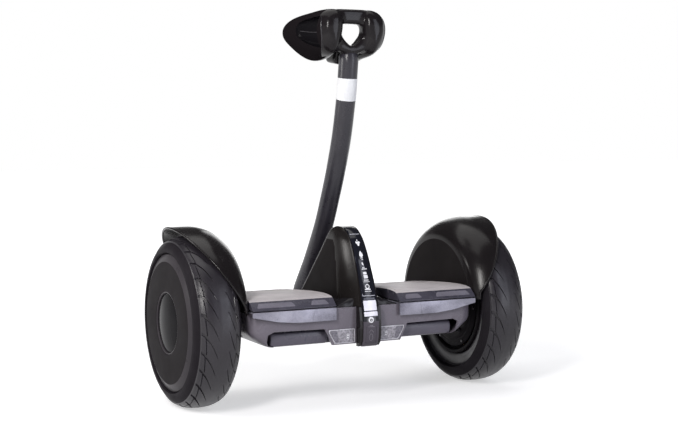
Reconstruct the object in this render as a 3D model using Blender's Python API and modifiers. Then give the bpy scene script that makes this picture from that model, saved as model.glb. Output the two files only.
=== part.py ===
"""Self-balancing scooter with two hub-motor wheels and a knee-steered stem.

Metres, +Z up. X runs along the wheel axle (+X is the rider's right), +Y is the driving
direction, and the origin lies on the ground in the middle of the outline. The builders
measure Y from the middle of the deck; main moves everything back by ORIGIN_Y at the end.
Each sub-part is one closed solid; parts that touch keep a gap of GAP.
"""
import math

import bmesh
import bpy
from mathutils import Matrix, Vector

OBJECT_NAME = "self_balancing_scooter"
GAP = 0.0003

ORIGIN_Y = 0.0150

# Wheels: 10 x 3 inch tyres, on an axle in front of the deck's middle
WHEEL_X = 0.2398
AXLE_Y = 0.0090
AXLE_Z = 0.1275
TYRE_RADIUS = 0.1275
BEAD_RADIUS = 0.0822
HUB_COVER_RADIUS = 0.0981
HUB_COVER_FACE = 0.0316
HUB_CAP_RADIUS = 0.0435
MOTOR_COVER_RADIUS = 0.0660
STATOR_RADIUS = 0.0690
AXLE_RADIUS = 0.0080
AXLE_INNER_X = 0.1540
AXLE_OUTER_X = 0.2590

# Deck
DECK_HALF_LENGTH = 0.1020
DECK_INNER_X = 0.0534
DECK_OUTER_X = 0.1870
CHASSIS_OUTER_X = 0.1870
CHASSIS_HALF_DEPTH = 0.0917
CHASSIS_BOTTOM = 0.1192
CHASSIS_TOP = 0.1465
CHASSIS_WALL = 0.0047
BAY_HALF_X = 0.1500
CASE_HALF_X = 0.1513
CASE_HALF_DEPTH = 0.0790
CASE_BOTTOM = 0.0952
CASE_TOP = 0.1189
SWITCH_TOP = 0.1485
TRAY_BOTTOM = 0.1488
TRAY_TOP = 0.1503
MAT_TRAVEL = 0.0015
MAT_BOTTOM = TRAY_TOP + MAT_TRAVEL + GAP
PANEL_FRONT = 0.0920
PANEL_FACE = 0.0955
PANEL_TOP = 0.1485
LAMP_FACE = 0.0967

# Hump and its display strip
STRIP_THICKNESS = 0.0016
STRIP_BED = STRIP_THICKNESS + GAP
STRIP_HALF_WIDTH_LOW = 0.0128
STRIP_HALF_WIDTH_TOP = 0.0094
SPINE_HALF_WIDTH = 0.0178
BUTTON_Z = 0.1294
BUTTON_RADIUS = 0.0045
BUTTON_TRAVEL = 0.0010
CAP_BOTTOM = 0.0953
CAP_TOP = 0.1184
CAP_HALF_WIDTH = 0.0085

# Fenders: turned about a line of their own, above and in front of the axle
FENDER_FACE_X = 0.1873
FENDER_Y = 0.0176
FENDER_Z = 0.1295
FENDER_SKIN = 0.0022
FENDER_RADIUS = 0.1384
FENDER_LIP_X = 0.2800
FENDER_FOOT_Z = 0.1190
FENDER_EDGE_Z = 0.1475
# Distance out from the face and radius, from the flat face over the shoulder to the hood
FENDER_SHOULDER = [(0.0, 0.1034), (0.0030, 0.1136), (0.0115, 0.1236), (0.0245, 0.1323),
                   (0.0405, 0.1373), (0.0559, FENDER_RADIUS)]

# Steering stem
PIVOT_Z = 0.1270
PIVOT_SHAFT_RADIUS = 0.0070
STEM_RADIUS = 0.0150
STEM_WALL = 0.0025
STEM_FOOT_Y = 0.1330
STEM_TOP_Y = -0.0350
STEM_TOP_Z = 0.5280
SOCKET_BACK_Y = 0.1040
SOCKET_TOP = 0.1410

# Head and knee pads
HEAD_REAR_Y = -0.0445
HEAD_FRONT_Y = -0.0325
PAD_POCKET_DEPTH = 0.0150
PAD_SWELL = 1.08

PARTS = None
CUTTERS = None

PLANES = {
    "XY": Matrix(((1, 0, 0), (0, 1, 0), (0, 0, 1))).to_4x4(),
    "YZ": Matrix(((0, 0, 1), (1, 0, 0), (0, 1, 0))).to_4x4(),
    "XZ": Matrix(((1, 0, 0), (0, 0, -1), (0, 1, 0))).to_4x4(),
}

# Colour, roughness and metallic value of each finish
FINISHES = {
    "rubber": ((0.030, 0.028, 0.032), 0.62, 0.0),
    "satin_black": ((0.022, 0.020, 0.022), 0.38, 0.0),
    "gloss_black": ((0.018, 0.017, 0.022), 0.14, 0.0),
    "panel_grey": ((0.060, 0.055, 0.068), 0.30, 0.0),
    "silver_trim": ((0.330, 0.320, 0.370), 0.22, 0.4),
    "mat_grey": ((0.110, 0.105, 0.100), 0.55, 0.0),
    "foam": ((0.024, 0.021, 0.024), 0.40, 0.0),
    "stem_paint": ((0.020, 0.020, 0.024), 0.35, 0.2),
    "cast_metal": ((0.120, 0.120, 0.125), 0.45, 0.9),
    "steel": ((0.550, 0.550, 0.560), 0.30, 1.0),
    "copper": ((0.450, 0.230, 0.120), 0.45, 1.0),
    "lens_grey": ((0.360, 0.350, 0.390), 0.15, 0.0),
    "lens_clear": ((0.750, 0.760, 0.780), 0.12, 0.0),
    "light_white": ((0.780, 0.780, 0.820), 0.30, 0.0),
    "circuit_green": ((0.030, 0.160, 0.070), 0.50, 0.0),
    "cell_wrap": ((0.030, 0.070, 0.160), 0.45, 0.0),
}


def clear_scene():
    for item in list(bpy.data.objects):
        bpy.data.objects.remove(item, do_unlink=True)


def new_collection(name):
    group = bpy.data.collections.new(name)
    bpy.context.scene.collection.children.link(group)
    return group


def finish_material(name, finish):
    colour, roughness, metallic = FINISHES[finish]
    material = bpy.data.materials.new(name)
    material.use_nodes = True
    shader = material.node_tree.nodes["Principled BSDF"]
    shader.inputs["Base Color"].default_value = (*colour, 1.0)
    shader.inputs["Roughness"].default_value = roughness
    shader.inputs["Metallic"].default_value = metallic
    material.diffuse_color = (*colour, 1.0)
    return material


def add_part(name, mesh, finish):
    part = bpy.data.objects.new(name, mesh)
    PARTS.objects.link(part)
    mesh.materials.clear()
    mesh.materials.append(finish_material(name, finish))
    return part


def add_cutter(name, mesh):
    cutter = bpy.data.objects.new(name, mesh)
    CUTTERS.objects.link(cutter)
    cutter.hide_render = True
    cutter.display_type = "WIRE"
    return cutter


def boolean(part, cutter, operation="DIFFERENCE"):
    step = part.modifiers.new(operation.lower(), "BOOLEAN")
    step.operation = operation
    step.solver = "EXACT"
    step.object = cutter


def bevel(part, width, segments=2, angle=35.0):
    step = part.modifiers.new("bevel", "BEVEL")
    step.width = width
    step.segments = segments
    step.limit_method = "ANGLE"
    step.angle_limit = math.radians(angle)


def shade(mesh, angle=35.0):
    mesh.shade_smooth()
    mesh.set_sharp_from_angle(angle=math.radians(angle))


def box_mesh(name, low, high):
    low, high = Vector(low), Vector(high)
    size = high - low
    shape = bmesh.new()
    bmesh.ops.create_cube(shape, size=1.0)
    bmesh.ops.scale(shape, vec=size, verts=shape.verts)
    mesh = bpy.data.meshes.new(name)
    shape.to_mesh(mesh)
    shape.free()
    return mesh


def box(name, low, high, finish=None):
    """A box between two corners, as a part or, without a finish, as a cutter."""
    mesh = box_mesh(name, low, high)
    solid = add_part(name, mesh, finish) if finish else add_cutter(name, mesh)
    solid.location = (Vector(low) + Vector(high)) / 2
    return solid


def rod_mesh(name, radius, length, sides):
    shape = bmesh.new()
    bmesh.ops.create_cone(shape, cap_ends=True, cap_tris=False, segments=sides,
                          radius1=radius, radius2=radius, depth=length)
    mesh = bpy.data.meshes.new(name)
    shape.to_mesh(mesh)
    shape.free()
    shade(mesh)
    return mesh


AXIS_TURN = {"X": (0.0, math.pi / 2, 0.0), "Y": (math.pi / 2, 0.0, 0.0), "Z": (0.0, 0.0, 0.0)}


def rod(name, centre, axis, radius, length, finish=None, sides=24):
    """A plain cylinder about its centre, as a part or, without a finish, as a cutter."""
    mesh = rod_mesh(name, radius, length, sides)
    solid = add_part(name, mesh, finish) if finish else add_cutter(name, mesh)
    solid.location = centre
    solid.rotation_euler = AXIS_TURN[axis]
    return solid


def profile_mesh(name, points, closed):
    """The outline that a Screw modifier turns: points of (height, radius) on local Z and X."""
    mesh = bpy.data.meshes.new(name)
    corners = [(radius, 0.0, height) for height, radius in points]
    edges = [(i, i + 1) for i in range(len(points) - 1)]
    if closed:
        edges.append((len(points) - 1, 0))
    mesh.from_pydata(corners, edges, [])
    return mesh


def screw(part, steps):
    turn = part.modifiers.new("turn", "SCREW")
    turn.axis = "Z"
    turn.angle = math.tau
    turn.steps = steps
    turn.render_steps = steps
    turn.use_merge_vertices = True
    turn.merge_threshold = 0.00001
    turn.use_smooth_shade = True


def turned(name, points, side, finish, steps=36, closed=True):
    """A part turned about a wheel's axle.

    The points are (out, radius): out is measured from the wheel's middle plane, away from the
    deck. They run from the outboard face down the outer side.
    """
    part = add_part(name, profile_mesh(name, points, closed), finish)
    place_on_axle(part, side)
    screw(part, steps)
    return part


def place_on_axle(part, side):
    part.location = (side * WHEEL_X, AXLE_Y, AXLE_Z)
    part.rotation_euler = (0.0, side * math.pi / 2, 0.0)


def outline_mesh(name, outlines, thickness):
    """A flat outline, with holes if there are more, as a curve that is turned into a mesh."""
    curve = bpy.data.curves.new(name, "CURVE")
    curve.dimensions = "2D"
    curve.fill_mode = "BOTH"
    curve.extrude = thickness / 2
    for outline in outlines:
        line = curve.splines.new("POLY")
        line.points.add(len(outline) - 1)
        for point, (across, up) in zip(line.points, outline):
            point.co = (across, up, 0.0, 1.0)
        line.use_cyclic_u = True
    mesh = curve_to_mesh(name, curve)
    return mesh


def curve_to_mesh(name, curve):
    holder = bpy.data.objects.new(name, curve)
    bpy.context.scene.collection.objects.link(holder)
    graph = bpy.context.evaluated_depsgraph_get()
    mesh = bpy.data.meshes.new_from_object(holder.evaluated_get(graph))
    bpy.data.objects.remove(holder, do_unlink=True)
    bpy.data.curves.remove(curve)
    mesh.name = name
    shape = bmesh.new()
    shape.from_mesh(mesh)
    bmesh.ops.remove_doubles(shape, verts=shape.verts, dist=0.00001)
    bmesh.ops.dissolve_limit(shape, angle_limit=math.radians(0.5), verts=shape.verts,
                             edges=shape.edges)
    bmesh.ops.recalc_face_normals(shape, faces=shape.faces)
    shape.to_mesh(mesh)
    shape.free()
    return mesh


def prism(name, plane, outlines, near, far, finish=None):
    """An outline drawn in a plane of the object and carried from near to far across it."""
    if isinstance(outlines[0][0], (int, float)):
        outlines = [outlines]
    mesh = outline_mesh(name, outlines, abs(far - near))
    solid = add_part(name, mesh, finish) if finish else add_cutter(name, mesh)
    axis = {"XY": 2, "YZ": 0, "XZ": 1}[plane]
    place = Vector((0.0, 0.0, 0.0))
    place[axis] = (near + far) / 2
    solid.matrix_world = Matrix.Translation(place) @ PLANES[plane]
    return solid


def loft_mesh(name, rings, smooth=35.0):
    """Skin a list of equal rings of points and close both ends."""
    shape = bmesh.new()
    rows = [[shape.verts.new(point) for point in ring] for ring in rings]
    count = len(rings[0])
    for row, following in zip(rows, rows[1:]):
        for i in range(count):
            j = (i + 1) % count
            shape.faces.new((row[i], row[j], following[j], following[i]))
    shape.faces.new(list(reversed(rows[0])))
    shape.faces.new(rows[-1])
    bmesh.ops.recalc_face_normals(shape, faces=shape.faces)
    mesh = bpy.data.meshes.new(name)
    shape.to_mesh(mesh)
    shape.free()
    shade(mesh, smooth)
    return mesh


def smooth_path(points, count):
    """Points along a Catmull-Rom curve through the given points, evenly in parameter."""
    guides = [Vector(p) for p in points]
    ends = [2 * guides[0] - guides[1]] + guides + [2 * guides[-1] - guides[-2]]
    spans = len(guides) - 1
    path = []
    for step in range(count + 1):
        place = step / count * spans
        index = min(int(place), spans - 1)
        t = place - index
        a, b, c, d = ends[index:index + 4]
        path.append(0.5 * ((2 * b) + (c - a) * t + (2 * a - 5 * b + 4 * c - d) * t ** 2
                           + (3 * b - a - 3 * c + d) * t ** 3))
    return path


def side_name(side):
    return "right" if side > 0 else "left"


# Side outline of the display strip at X = 0, as (Y, Z) from its foot over the hump's top
STRIP_OUTLINE = [
    (-0.1029, 0.0893), (-0.1066, 0.0934), (-0.1090, 0.0999), (-0.1102, 0.1079),
    (-0.1106, 0.1169), (-0.1102, 0.1289), (-0.1082, 0.1419), (-0.1055, 0.1519),
    (-0.1022, 0.1628), (-0.0964, 0.1802), (-0.0880, 0.1995), (-0.0782, 0.2203),
    (-0.0654, 0.2415), (-0.0551, 0.2522), (-0.0450, 0.2594), (-0.0360, 0.2624),
    (-0.0230, 0.2636),
]
# The strip ends at this height, and the hump's top goes on
STRIP_TOP = 0.2622


def strip_line(depth):
    """The strip's outline moved inwards by a depth, as (Y, Z) points."""
    line = []
    last = len(STRIP_OUTLINE) - 1
    for i, (y, z) in enumerate(STRIP_OUTLINE):
        before = STRIP_OUTLINE[max(i - 1, 0)]
        after = STRIP_OUTLINE[min(i + 1, last)]
        along = Vector((after[0] - before[0], after[1] - before[1])).normalized()
        line.append((y + along.y * depth, z - along.x * depth))
    return line


def line_y(line, z):
    """The Y of an outline at a height, between its points."""
    for (y0, z0), (y1, z1) in zip(line, line[1:]):
        if z0 <= z <= z1:
            return y0 + (y1 - y0) * (z - z0) / (z1 - z0)
    return line[0][0] if z < line[0][1] else line[-1][0]


def strip_half_width(z):
    share = min(max((z - 0.150) / (0.262 - 0.150), 0.0), 1.0)
    return STRIP_HALF_WIDTH_LOW + (STRIP_HALF_WIDTH_TOP - STRIP_HALF_WIDTH_LOW) * share


def strip_piece(name, low, high, inset, finish=None, outer=0.0, inner=STRIP_THICKNESS):
    """A stretch of the strip between two heights, narrower than the strip by inset."""
    heights = [low] + [z for _, z in STRIP_OUTLINE if low < z < high] + [high]
    rings = []
    for z in heights:
        half = strip_half_width(z) - inset
        out, deep = strip_point(z, outer), strip_point(z, inner)
        rings.append([(-half, *out), (half, *out), (half, *deep), (-half, *deep)])
    mesh = loft_mesh(name, rings)
    return add_part(name, mesh, finish) if finish else add_cutter(name, mesh)


def strip_point(z, depth):
    """The (Y, Z) place at a depth below the strip's outline, at a height on the outline."""
    line = strip_line(depth)
    for index, ((_, z0), (_, z1)) in enumerate(zip(STRIP_OUTLINE, STRIP_OUTLINE[1:])):
        if z <= z1:
            break
    share = (z - z0) / (z1 - z0)
    (ya, za), (yb, zb) = line[index], line[index + 1]
    return (ya + (yb - ya) * share, za + (zb - za) * share)


def build_wheel(side):
    """Tyre, hub-motor shell, covers, bearing and valve, which turn together on the axle."""
    tag = side_name(side)
    outer = [
        (0.0245, BEAD_RADIUS), (0.0266, 0.0876), (0.0270, 0.0986), (0.0350, 0.0998),
        (0.0374, 0.1040), (0.0368, 0.1085), (0.0343, 0.1135), (0.0293, 0.1196),
        (0.0223, 0.1239), (0.0134, 0.1266), (0.0, TYRE_RADIUS),
    ]
    inner = [(0.0, 0.1205), (0.0230, 0.1165), (0.0300, 0.1080), (0.0200, 0.0950),
             (0.0190, BEAD_RADIUS)]
    mirrored_outer = [(-z, r) for z, r in reversed(outer[:-1])]
    mirrored_inner = [(-z, r) for z, r in reversed(inner[1:])]
    turned(f"tyre_{tag}", outer + mirrored_outer + mirrored_inner + inner, side, "rubber", 36)

    drum = BEAD_RADIUS - GAP
    shell = [
        (0.0270, 0.0), (0.0270, drum), (-0.0290, drum), (-0.0290, 0.0745),
        (-0.0220, 0.0720), (-0.0220, 0.0710), (0.0210, 0.0710), (0.0210, 0.0),
    ]
    turned(f"motor_shell_{tag}", shell, side, "satin_black", 36, closed=False)

    cover_out = -0.0230
    motor_cover = [
        (cover_out, 0.0143), (cover_out, 0.0705), (-0.0275, 0.0705),
        (-0.0290, MOTOR_COVER_RADIUS), (-0.0330, 0.0560), (-0.0330, 0.0143),
    ]
    turned(f"motor_cover_{tag}", motor_cover, side, "cast_metal", 32)
    bearing = [(-0.0240, AXLE_RADIUS + GAP), (-0.0240, 0.0140), (-0.0320, 0.0140),
               (-0.0320, AXLE_RADIUS + GAP)]
    turned(f"wheel_bearing_{tag}", bearing, side, "steel", 18)

    face = HUB_COVER_FACE
    hub_cover = [
        (face - 0.0008, HUB_CAP_RADIUS + GAP), (face, 0.0500), (face, 0.0895),
        (face - 0.0026, HUB_COVER_RADIUS), (0.0273, HUB_COVER_RADIUS),
        (0.0273, HUB_CAP_RADIUS + GAP),
    ]
    turned(f"hub_cover_{tag}", hub_cover, side, "satin_black", 36)
    hub_cap = [
        (0.0295, 0.0), (0.0298, 0.0220), (0.0308, 0.0370), (face - 0.0002, 0.0405),
        (face - 0.0006, HUB_CAP_RADIUS), (0.0273, HUB_CAP_RADIUS), (0.0273, 0.0),
    ]
    turned(f"hub_cap_{tag}", hub_cap, side, "gloss_black", 32, closed=False)

    valve_ring, valve_turn = 0.0500, math.radians(38)
    valve = add_part(f"valve_stem_{tag}", valve_mesh(f"valve_stem_{tag}"), "rubber")
    valve.location = (side * (WHEEL_X - 0.0333), AXLE_Y - valve_ring * math.sin(valve_turn),
                      AXLE_Z - valve_ring * math.cos(valve_turn))
    valve.rotation_euler = (0.0, -side * math.pi / 2, 0.0)


def valve_mesh(name):
    """A short stepped valve stem standing on its foot along local +Z."""
    radii = [(0.0, 0.0036), (0.0030, 0.0034), (0.0036, 0.0026), (0.0105, 0.0024)]
    sides = 10
    rings = []
    for height, radius in radii:
        rings.append([(radius * math.cos(math.tau * k / sides),
                       radius * math.sin(math.tau * k / sides), height) for k in range(sides)])
    return loft_mesh(name, rings)


def build_axle(side):
    """The fixed axle and the stator that stands on it inside the wheel."""
    tag = side_name(side)
    middle = side * (AXLE_INNER_X + AXLE_OUTER_X) / 2
    rod(f"axle_{tag}", (middle, AXLE_Y, AXLE_Z), "X", AXLE_RADIUS, AXLE_OUTER_X - AXLE_INNER_X,
        "steel")
    stator = [(0.0140, AXLE_RADIUS + GAP), (0.0140, STATOR_RADIUS), (-0.0160, STATOR_RADIUS),
              (-0.0160, AXLE_RADIUS + GAP)]
    turned(f"stator_{tag}", stator, side, "copper", 24)


def build_fender(side):
    """A hooded guard over the wheel, its lip cut on a plane that leans out at the top."""
    tag = side_name(side)
    face = FENDER_FACE_X - WHEEL_X
    points = [(FENDER_LIP_X - WHEEL_X, FENDER_RADIUS - 0.0006)]
    points += [(face + out, radius) for out, radius in reversed(FENDER_SHOULDER)]
    points.append((face, 0.0))
    fender = turned(f"fender_{tag}", points, side, "satin_black", 44, closed=False)
    fender.location = (side * WHEEL_X, FENDER_Y, FENDER_Z)
    skin = fender.modifiers.new("skin", "SOLIDIFY")
    skin.thickness = FENDER_SKIN
    skin.offset = -1.0
    skin.use_even_offset = True

    reach, foot = 0.20, 0.048
    back, front = AXLE_Y - foot, AXLE_Y + foot
    keep = [(-reach, FENDER_EDGE_Z), (back - 0.012, FENDER_EDGE_Z), (back, FENDER_FOOT_Z),
            (front, FENDER_FOOT_Z), (front + 0.012, FENDER_EDGE_Z), (reach, FENDER_EDGE_Z),
            (reach, 0.30), (-reach, 0.30)]
    near, far = sorted((side * 0.180, side * 0.30))
    boolean(fender, prism(f"cut_fender_keep_{tag}", "YZ", keep, near, far), "INTERSECT")
    boolean(fender, rod(f"cut_fender_axle_{tag}", (side * FENDER_FACE_X, AXLE_Y, AXLE_Z), "X",
                        AXLE_RADIUS + 0.0045, 0.02))

    # The lip stands upright low down, leans out from there and steepens again at the top
    lip = [(0.1965, 0.1000), (0.1965, 0.1580), (0.2330, 0.2160), (0.2620, 0.2590),
           (0.2745, 0.2760), (0.3000, 0.3200), (0.3600, 0.3200), (0.3600, 0.1000)]
    outline = [(side * x, z) for x, z in lip]
    boolean(fender, prism(f"cut_fender_lip_{tag}", "XZ", outline, -reach, reach))


def build_chassis():
    """The cast frame with its two solid ends, slotted from below for the axles."""
    x1, x2 = 0.156, CHASSIS_OUTER_X
    y1, y2 = CHASSIS_HALF_DEPTH, 0.058
    outline = [(-x2, -y2), (-x1, -y1), (x1, -y1), (x2, -y2), (x2, y2), (x1, y1), (-x1, y1),
               (-x2, y2)]
    frame = prism("chassis_frame", "XY", outline, CHASSIS_BOTTOM, CHASSIS_TOP, "cast_metal")
    depth = CHASSIS_HALF_DEPTH - CHASSIS_WALL
    bay = box("cut_bay", (-BAY_HALF_X, -depth, CHASSIS_BOTTOM - 0.01),
              (BAY_HALF_X, depth, CHASSIS_TOP - 0.004))
    boolean(frame, bay)
    for side in (-1, 1):
        slot_half = AXLE_RADIUS + GAP
        near, far = sorted((side * 0.145, side * 0.20))
        boolean(frame, box(f"cut_axle_slot_{side_name(side)}",
                           (near, AXLE_Y - slot_half, CHASSIS_BOTTOM - 0.01),
                           (far, AXLE_Y + slot_half, AXLE_Z + slot_half)))
    boolean(frame, rod("cut_shaft_wall", (0, 0.090, PIVOT_Z), "Y", PIVOT_SHAFT_RADIUS + 0.001,
                       0.02))
    boolean(frame, box("cut_cable_way", (-0.020, -0.040, CHASSIS_TOP - 0.010),
                       (0.020, 0.010, CHASSIS_TOP + 0.010)))

    for side in (-1, 1):
        tongue = AXLE_RADIUS - GAP
        top = AXLE_Z - AXLE_RADIUS - GAP
        clamp = [(-0.040, 0.107), (-0.034, 0.104), (0.034, 0.104), (0.040, 0.107),
                 (0.040, CASE_TOP), (tongue, CASE_TOP), (tongue, top), (-tongue, top),
                 (-tongue, CASE_TOP), (-0.040, CASE_TOP)]
        near, far = sorted((side * (CASE_HALF_X + 0.0015), side * CHASSIS_OUTER_X))
        clamp = [(y + AXLE_Y, z) for y, z in clamp]
        clamp_part = prism(f"axle_clamp_{side_name(side)}", "YZ", clamp, near, far, "cast_metal")
        bevel(clamp_part, 0.0012, 1)


def build_battery():
    case = box("battery_case", (-CASE_HALF_X, -CASE_HALF_DEPTH, CASE_BOTTOM),
               (CASE_HALF_X, CASE_HALF_DEPTH, CASE_TOP), "panel_grey")
    wall, floor = 0.0030, 0.0030
    boolean(case, box("cut_case", (-CASE_HALF_X + wall, -CASE_HALF_DEPTH + wall, CASE_BOTTOM + floor),
                      (CASE_HALF_X - wall, CASE_HALF_DEPTH - wall, CASE_TOP + 0.01)))
    boolean(case, box("cut_case_notch", (-0.0225, 0.060, 0.1120), (0.0225, 0.090, 0.130)))
    bevel(case, 0.0015, 1)
    pack = box("battery_pack", (-0.145, -0.0745, CASE_BOTTOM + floor + GAP),
               (0.145, 0.0300, 0.1175), "cell_wrap")
    bevel(pack, 0.003, 1)


def build_electronics():
    board_low = 0.1232
    board = box("control_board", (-0.135, -0.078, board_low), (-0.030, 0.028, board_low + 0.0016),
                "circuit_green")
    heat_sink = box("join_heat_sink", (-0.125, -0.068, board_low + 0.001),
                    (-0.055, -0.020, 0.1380))
    boolean(board, heat_sink, "UNION")
    capacitors = box("join_capacitors", (-0.100, 0.000, board_low + 0.001),
                     (-0.050, 0.020, 0.1340))
    boolean(board, capacitors, "UNION")

    display = box("display_board", (-0.010, -0.0800, 0.155), (0.010, -0.0784, 0.205),
                  "circuit_green")
    display.rotation_euler = (math.radians(-12), 0, 0)


def corner_lamp_outline(side, inset=0.0):
    """A lamp beside the spine: a box with its lower outer corner cut away."""
    inner, outer, foot = 0.0198 + inset, 0.0634 - inset, 0.0538 - inset
    low, high = 0.0952 + inset, 0.1167 - inset
    outline = [(inner, low), (foot, low), (outer, high - 0.004), (outer, high), (inner, high)]
    return [(side * x, z) for x, z in outline]


def build_panel(end, name, lamp, lamp_finish):
    """The cover at one end of the chassis, with a lamp on each side of the middle."""
    half = [(0.0572, 0.0937), (0.0672, 0.1137), (0.0692, 0.1184), (0.1480, 0.1195),
            (0.1560, 0.1235), (0.1560, PANEL_TOP)]
    outline = half + [(-x, z) for x, z in reversed(half)]
    near, far = sorted((end * PANEL_FRONT, end * PANEL_FACE))
    panel = prism(name, "XZ", outline, near, far, "panel_grey")
    for side in (-1, 1):
        tag = side_name(side)
        low, high = sorted((end * (PANEL_FRONT - 0.005), end * (PANEL_FACE + 0.005)))
        boolean(panel, prism(f"cut_{lamp}_{tag}", "XZ", corner_lamp_outline(side), low, high))
        low, high = sorted((end * (PANEL_FRONT + 0.0005), end * LAMP_FACE))
        lens = prism(f"{lamp}_{tag}", "XZ", corner_lamp_outline(side, GAP), low, high, lamp_finish)
        bevel(lens, 0.0008, 1)
    return panel


def build_rear():
    """Rear panel, the spine that carries the strip's foot, the button and the charging port."""
    build_panel(-1, "rear_panel", "tail_lamp", "lens_grey")
    face = strip_line(STRIP_BED)
    back = -PANEL_FACE - GAP
    low, high = 0.0898, PANEL_TOP + GAP
    curve = [(y, z) for y, z in face if low < z < high]
    outline = [(back, low), (line_y(face, low), low)] + curve
    outline += [(line_y(face, high), high), (back, high)]
    spine = prism("tail_spine", "YZ", outline, -SPINE_HALF_WIDTH, SPINE_HALF_WIDTH, "satin_black")
    button_hole = rod("cut_button_hole", (0, -0.1030, BUTTON_Z), "Y", BUTTON_RADIUS + GAP, 0.0180)
    boolean(spine, button_hole)
    port_z = (CAP_BOTTOM + CAP_TOP) / 2
    port_hole = rod("cut_port_hole", (0, -0.1030, port_z), "Y", 0.0070 + GAP, 0.0180)
    boolean(spine, port_hole)


def build_front():
    """Front panel with the hole that the steering shaft passes through."""
    panel = build_panel(1, "front_panel", "headlight", "lens_clear")
    boolean(panel, rod("cut_shaft_panel", (0, 0.094, PIVOT_Z), "Y", PIVOT_SHAFT_RADIUS + 0.001,
                       0.02))


def hump_ring(z, rear, front, half, front_round, inset=0.0):
    """A level section of the hump: a wedge as wide as the strip at the rear, rounded in front."""
    rear, front, half = rear + 1.2 * inset, front - inset, half - inset
    narrow = strip_half_width(z) + 0.0004 - inset
    spread = half - narrow
    run = min(2.1 * spread, front - rear - front_round - 0.004)
    side = [(narrow, rear), (narrow + 0.0011, rear + 0.0010)]
    for share, out in ((0.28, 0.33), (0.62, 0.70), (1.0, 1.0)):
        side.append((narrow + spread * out, rear + run * share))
    for step in range(4):
        turn = math.radians(90 * step / 3)
        side.append((half - front_round * (1 - math.cos(turn)),
                     front - front_round * (1 - math.sin(turn))))
    return [(x, y, z) for x, y in side] + [(-x, y, z) for x, y in reversed(side)]


def build_hump():
    """The hollow hump between the mats and the plate that it stands on."""
    low = PANEL_TOP + 2 * GAP
    # Height, front end, half width, rounding at the front
    levels = [
        (low, 0.0792, 0.0320, 0.006), (0.1600, 0.0685, 0.0314, 0.006),
        (0.1776, 0.0529, 0.0299, 0.006), (0.1972, 0.0366, 0.0281, 0.006),
        (0.2184, 0.0191, 0.0258, 0.006), (0.2371, 0.0051, 0.0235, 0.006),
        (0.2485, -0.0025, 0.0215, 0.006), (0.2562, -0.0081, 0.0195, 0.005),
        (0.2603, -0.0120, 0.0175, 0.004), (0.2628, -0.0160, 0.0150, 0.003),
    ]
    wall = 0.0028
    rings, hollow = [], []
    for z, front, half, front_round in levels:
        rear = line_y(STRIP_OUTLINE, z)
        rings.append(hump_ring(z, rear, front, half, front_round))
        inner = hump_ring(z, rear, front, half, 0.003, wall)
        hollow.append([(x, y, z - wall) for x, y, _ in inner])
    hump = add_part("hump_cover", loft_mesh("hump_cover", rings), "satin_black")
    boolean(hump, add_cutter("cut_hump_hollow", loft_mesh("cut_hump_hollow", hollow)))
    boolean(hump, strip_piece("cut_strip_bed", low - 0.01, STRIP_TOP + GAP, -GAP,
                              outer=-0.004, inner=STRIP_BED))

    # The plate under the hump rises round its foot
    far, end = DECK_INNER_X - 2 * GAP, CHASSIS_HALF_DEPTH
    base = [(0.0140, -end), (0.0360, -end), (far, -end), (far, -0.060), (far, -0.020),
            (far, 0.055), (far, end), (0.0400, end), (0.0260, end)]
    crest = [(0.0140, -end, 0.1612), (0.0185, -0.0905, 0.1612), (0.0245, -0.0830, 0.1606),
             (0.0300, -0.0700, 0.1590), (0.0330, -0.0580, 0.1575), (0.0338, 0.0600, 0.1540),
             (0.0325, 0.0705, 0.1535), (0.0290, 0.0735, 0.1535), (0.0250, 0.0745, 0.1535)]
    levels = [[(x, y, z) for x, y in base] for z in (CHASSIS_TOP + GAP, PANEL_TOP + 0.0010)]
    rings = []
    for half_ring in (*levels, crest):
        rings.append(half_ring + [(-x, y, z) for x, y, z in reversed(half_ring)])
    plate = add_part("deck_cover", loft_mesh("deck_cover", rings), "gloss_black")
    rings = []
    for z, front, half in ((PANEL_TOP + GAP, 0.0802, 0.0322), (0.1600, 0.0690, 0.0318),
                           (0.1660, 0.0637, 0.0313)):
        rear = line_y(STRIP_OUTLINE, z) - 0.0005
        rings.append(hump_ring(z, rear, front, half, 0.006))
    boolean(plate, add_cutter("cut_plate_hump", loft_mesh("cut_plate_hump", rings)))
    boolean(plate, box("cut_plate_way", (-0.020, -0.040, CHASSIS_TOP - 0.010),
                       (0.020, 0.010, CHASSIS_TOP + 0.010)))


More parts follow.
